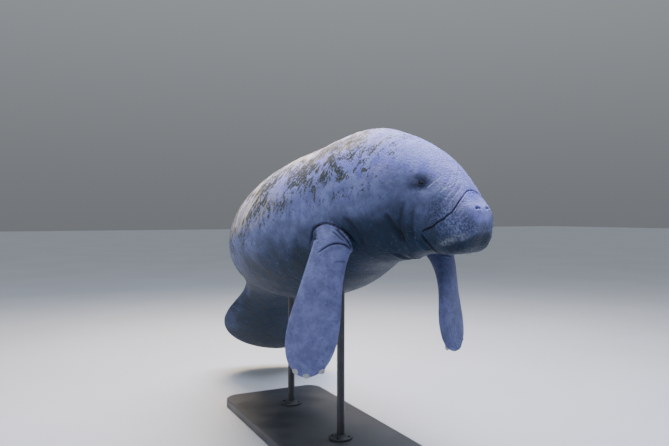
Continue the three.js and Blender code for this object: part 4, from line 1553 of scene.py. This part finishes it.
@dataclass
class Stand:
    """A flat painted board with two coated steel rods, their collars and screws."""

    base_length: float = 1.150
    base_width: float = 0.480
    base_corner: float = 0.070
    base_thickness: float = 0.036
    edge_round: float = 0.005
    rod_radius: float = 0.015
    collar_radius: float = 0.046
    collar_height: float = 0.016
    gap: float = 0.0004
    rods: tuple = (("front", 0.220), ("rear", -0.300))

    def outline(self, inset: float) -> np.ndarray:
        """The board's outline, moved inwards by an inset."""
        x, y = self.base_length / 2, self.base_width / 2
        r = self.base_corner
        points = []
        for k, (sx, sy) in enumerate(((1, -1), (1, 1), (-1, 1), (-1, -1))):
            for t in np.linspace(0, np.pi / 2, 15):
                a = -np.pi / 2 + k * np.pi / 2 + t
                points.append((sx * (x - r) + (r - inset) * np.cos(a),
                               sy * (y - r) + (r - inset) * np.sin(a)))
        return np.array(points)

    def board(self, material: bpy.types.Material) -> bpy.types.Object:
        """Builds the board with rounded edges and a fine shadow groove round its foot."""
        r, top = self.edge_round, self.base_thickness
        levels = [(0.0030, 0.0), (0.0012, 0.0006), (0.0, 0.0018)]
        levels += [(r * (1 - math.cos(t)), top - r * (1 - math.sin(t)))
                   for t in np.linspace(0, np.pi / 2, 7)]
        rings = [np.column_stack([self.outline(inset), np.full(60, z)]) for inset, z in levels]
        piece = new_mesh("stand_board", np.vstack(rings), ring_faces(len(rings), 60, True, True), False)
        outward(piece)
        piece.data.materials.append(material)
        shade_by_angle(piece, 40)
        return piece

    def turned(self, name: str, profile: list, sides: int, x: float, closed: bool) -> bpy.types.Object:
        """Turns a profile of radius and height around an upright axis.

        Args:
            name: The piece's name.
            profile: Pairs of radius and height in metres.
            sides: Points round the axis.
            x: Place of the axis.
            closed: Whether the profile is a closed loop, as of a ring.

        Returns:
            The turned piece.
        """
        around = np.arange(sides) / sides * 2 * np.pi
        loop = profile + [profile[0]] if closed else profile
        rings = [np.column_stack([x + r * np.cos(around), r * np.sin(around), np.full(sides, z)])
                 for r, z in loop]
        piece = new_mesh(name, np.vstack(rings), ring_faces(len(rings), sides, not closed, not closed))
        outward(piece)
        return piece

    def rod(self, name: str, x: float, material: bpy.types.Material) -> bpy.types.Object:
        """Builds a rod from the board up into the belly, with a soft shoulder at its top."""
        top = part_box("stand_rod_" + name)[1][2]
        low = self.base_thickness + self.gap
        r = self.rod_radius
        profile = [(r - 0.001, low), (r, low + 0.001)]
        profile += [(r, z) for z in np.linspace(low + 0.05, top - 0.002, 10)] + [(r - 0.002, top)]
        piece = self.turned("stand_rod_" + name + "_coated", profile, 48, x, False)
        piece.data.materials.append(material)
        shade_by_angle(piece, 35)
        return piece

    def collar(self, name: str, x: float, material: bpy.types.Material) -> bpy.types.Object:
        """Builds a collar with a rounded shoulder and a raised neck."""
        low = self.base_thickness + self.gap
        inner, outer, high = self.rod_radius + self.gap, self.collar_radius, self.collar_height
        profile = [(inner, low), (outer, low), (outer, low + 0.35 * high)]
        profile += [(outer - 0.0035 * (1 - math.cos(t)), low + 0.35 * high + 0.0035 * math.sin(t))
                    for t in np.linspace(0.2, np.pi / 2, 6)]
        profile += [(inner + 0.011, low + 0.60 * high), (inner + 0.008, low + 0.68 * high),
                    (inner + 0.0065, low + 0.93 * high), (inner + 0.0045, low + high), (inner, low + high)]
        piece = self.turned("stand_collar_" + name + "_coated", profile, 64, x, True)
        piece.data.materials.append(material)
        shade_by_angle(piece, 35)
        return piece

    def screws(self, material: bpy.types.Material) -> bpy.types.Object:
        """Sets four round-headed socket screws on each collar, by a Geometry Nodes group."""
        places = ("Rod Place 1", "Rod Place 2")
        net, given = new_group("collar_screws", dict.fromkeys(
            ("Ring Radius", "Head Radius", "Head Height", *places, "Deck"), "Float"))
        head = net.node("GeometryNodeMeshCylinder", {"fill_type": "NGON"}, {
            "Vertices": 24, "Radius": given["Head Radius"], "Depth": given["Head Height"]})
        well = net.node("GeometryNodeMeshCylinder", {"fill_type": "NGON"}, {
            "Vertices": 6, "Radius": net.times(given["Head Radius"], 0.45), "Depth": given["Head Height"]})
        lift = net.node("ShaderNodeCombineXYZ", inputs={2: net.times(given["Head Height"], 0.45)})
        lifted = net.node("GeometryNodeTransform", inputs={
            "Geometry": well.outputs["Mesh"], "Translation": lift.outputs[0]})
        screw = net.node("GeometryNodeMeshBoolean", {"operation": "DIFFERENCE", "solver": "EXACT"},
                         {"Mesh 1": head.outputs["Mesh"], "Mesh 2": lifted.outputs[0]})
        circle = net.node("GeometryNodeMeshCircle", {"fill_type": "NONE"}, {
            "Vertices": 4, "Radius": given["Ring Radius"]})
        both = net.node("GeometryNodeJoinGeometry")
        for key in places:
            spot = net.node("ShaderNodeCombineXYZ", inputs={0: given[key], 2: given["Deck"]})
            moved = net.node("GeometryNodeTransform", inputs={
                "Geometry": circle.outputs["Mesh"], "Translation": spot.outputs[0],
                "Rotation": (0, 0, math.pi / 4)})
            placed = net.node("GeometryNodeInstanceOnPoints", inputs={
                "Points": moved.outputs[0], "Instance": screw.outputs[0]})
            net.feed(both, {0: placed.outputs[0]})
        real = net.node("GeometryNodeRealizeInstances", inputs={"Geometry": both.outputs[0]})
        piece = new_mesh("stand_screws", np.zeros((0, 3)), [])
        run_group(piece, finish_group(net, real.outputs[0], material, False), {
            "Ring Radius": 0.034, "Head Radius": 0.0045, "Head Height": 0.0036,
            "Rod Place 1": self.rods[0][1], "Rod Place 2": self.rods[1][1],
            "Deck": self.base_thickness + self.gap + 0.60 * self.collar_height + 0.0012})
        shade_by_angle(piece, 35)
        return piece

    def build(self) -> None:
        """Builds and places every piece of the stand."""
        coat = CoatedSteelFinish("powder_coated_steel", "#33363b", 0.45).material()
        zinc = CoatedSteelFinish("blackened_screw_steel", "#4a4c50", 0.32, 0.9).material()
        board = self.board(PaintedWoodFinish().material())
        settle(board, ("stand_base",))
        for name, x in self.rods:
            settle(self.rod(name, x, coat), ("stand_rod_" + name,))
            settle(self.collar(name, x, coat), ("stand_collar_" + name,))
        settle(self.screws(zinc), ())


def shade_by_angle(piece: bpy.types.Object, degrees: float) -> None:
    """Shades a piece smooth but for edges sharper than an angle."""
    mesh = piece.data
    mesh.shade_smooth()
    shape = bmesh.new()
    shape.from_mesh(mesh)
    for edge in shape.edges:
        sharp = len(edge.link_faces) == 2 and edge.calc_face_angle(0) > math.radians(degrees)
        edge.smooth = not sharp
    shape.to_mesh(mesh)
    shape.free()


def settle(piece: bpy.types.Object, nodes: tuple) -> None:
    """Says what a piece rides on, which solids it stands for.

    Args:
        piece: The finished piece.
        nodes: Names of the solids that it replaces.
    """
    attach(piece, ROOT)
    if nodes:
        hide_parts(*nodes)
    log.info("%s: %d faces", piece.name, len(piece.data.polygons))


# Studio


@dataclass
class Studio:
    """Pale floor, soft lights and the camera at the photo's viewing angle."""

    shoulder: tuple = SHOULDER
    azimuth: float = 28.106
    elevation: float = -1.1004
    distance: float = 2.30703
    lens: float = 34.44
    shift: tuple = (-0.0475, -0.0288)

    def floor(self) -> None:
        """Lays the floor."""
        reach = 40.0
        corners = reach * np.array([(-1, -1, 0), (1, -1, 0), (1, 1, 0), (-1, 1, 0)])
        piece = new_mesh("floor", corners, [[0, 1, 2, 3]], False)
        piece.data.materials.append(FloorFinish().material())

    def world(self) -> None:
        """Fills the room with even, faintly cool light."""
        world = bpy.data.worlds.new("studio")
        world.use_nodes = True
        net = Net(world.node_tree)
        direction = net.node("ShaderNodeTexCoord").outputs["Generated"]
        upward = net.node("ShaderNodeSeparateXYZ", inputs={0: direction}).outputs[2]
        net.feed(net.tree.nodes["Background"], {
            "Color": linear("#dfe5ec"), "Strength": net.ramp(upward, -0.1, 0.8, 0.22, 0.62)})
        bpy.context.scene.world = world

    def light(self, name: str, place: tuple, target: tuple, size: float, power: float, tint: str) -> None:
        """Hangs one square soft light.

        Args:
            name: The light's name.
            place: Where it hangs.
            target: What it points at.
            size: Its width in metres.
            power: Its power in watts.
            tint: Its colour.
        """
        lamp = bpy.data.lights.new(name, "AREA")
        lamp.size = size
        lamp.energy = power
        lamp.color = linear(tint)[:3]
        carrier = bpy.data.objects.new(name, lamp)
        carrier.location = place
        carrier.rotation_euler = (Vector(target) - Vector(place)).to_track_quat("-Z", "Y").to_euler()
        bpy.context.scene.collection.objects.link(carrier)

    def camera(self) -> None:
        """Sets the camera where the photo's was."""
        az, el = math.radians(self.azimuth), math.radians(self.elevation)
        away = Vector((math.cos(az) * math.cos(el), -math.sin(az) * math.cos(el), math.sin(el)))
        place = Vector(self.shoulder) + self.distance * away
        right = Vector((math.sin(az), math.cos(az), 0))
        up = right.cross(-away).normalized()
        lens = bpy.data.cameras.new("camera")
        lens.sensor_width = 36
        lens.lens = self.lens
        lens.shift_x, lens.shift_y = self.shift
        camera = bpy.data.objects.new("camera", lens)
        camera.matrix_world = Matrix.Translation(place) @ Matrix((right, up, away)).transposed().to_4x4()
        bpy.context.scene.collection.objects.link(camera)
        bpy.context.scene.camera = camera

    def build(self) -> None:
        """Sets up floor, light and camera."""
        self.floor()
        self.world()
        self.light("sky", (-0.2, 0.5, 3.6), (0.0, 0.0, 0.6), 3.0, 285, "#e2e7ff")
        self.light("key", (1.6, -2.6, 3.4), (0.3, 0.0, 0.8), 1.6, 26, "#fff8f0")
        self.light("rim", (-2.4, 0.3, 3.2), (-0.2, 0.0, 0.9), 1.2, 150, "#ffe3bd")
        self.camera()


def main() -> None:
    """Builds the display model piece by piece."""
    logging.basicConfig(level=logging.INFO, format="%(message)s")
    form = BodyForm()
    skin = Skin(form, FLIPPERS, SkinFinish())
    hide = skin.build()
    settle(hide, ("head", "neck", "torso", "tail_stock", "tail_paddle", "flipper_right", "flipper_left"))
    wet = EyeFinish().material()
    for side in Side:
        settle(Eye(side, form).build(wet), ("eye_" + side.value,))
    horn = HornFinish().material()
    for flipper in FLIPPERS:
        nails = Nails(flipper)
        for number in (1, 2, 3):
            settle(nails.build(number, horn), (f"nail_{flipper.side.value}_{number}",))
    for coat in COATS:
        settle(coat.build(hide, skin.share, skin.high), ())
    Stand().build()
    Studio().build()


if __name__ == "__main__":
    main()
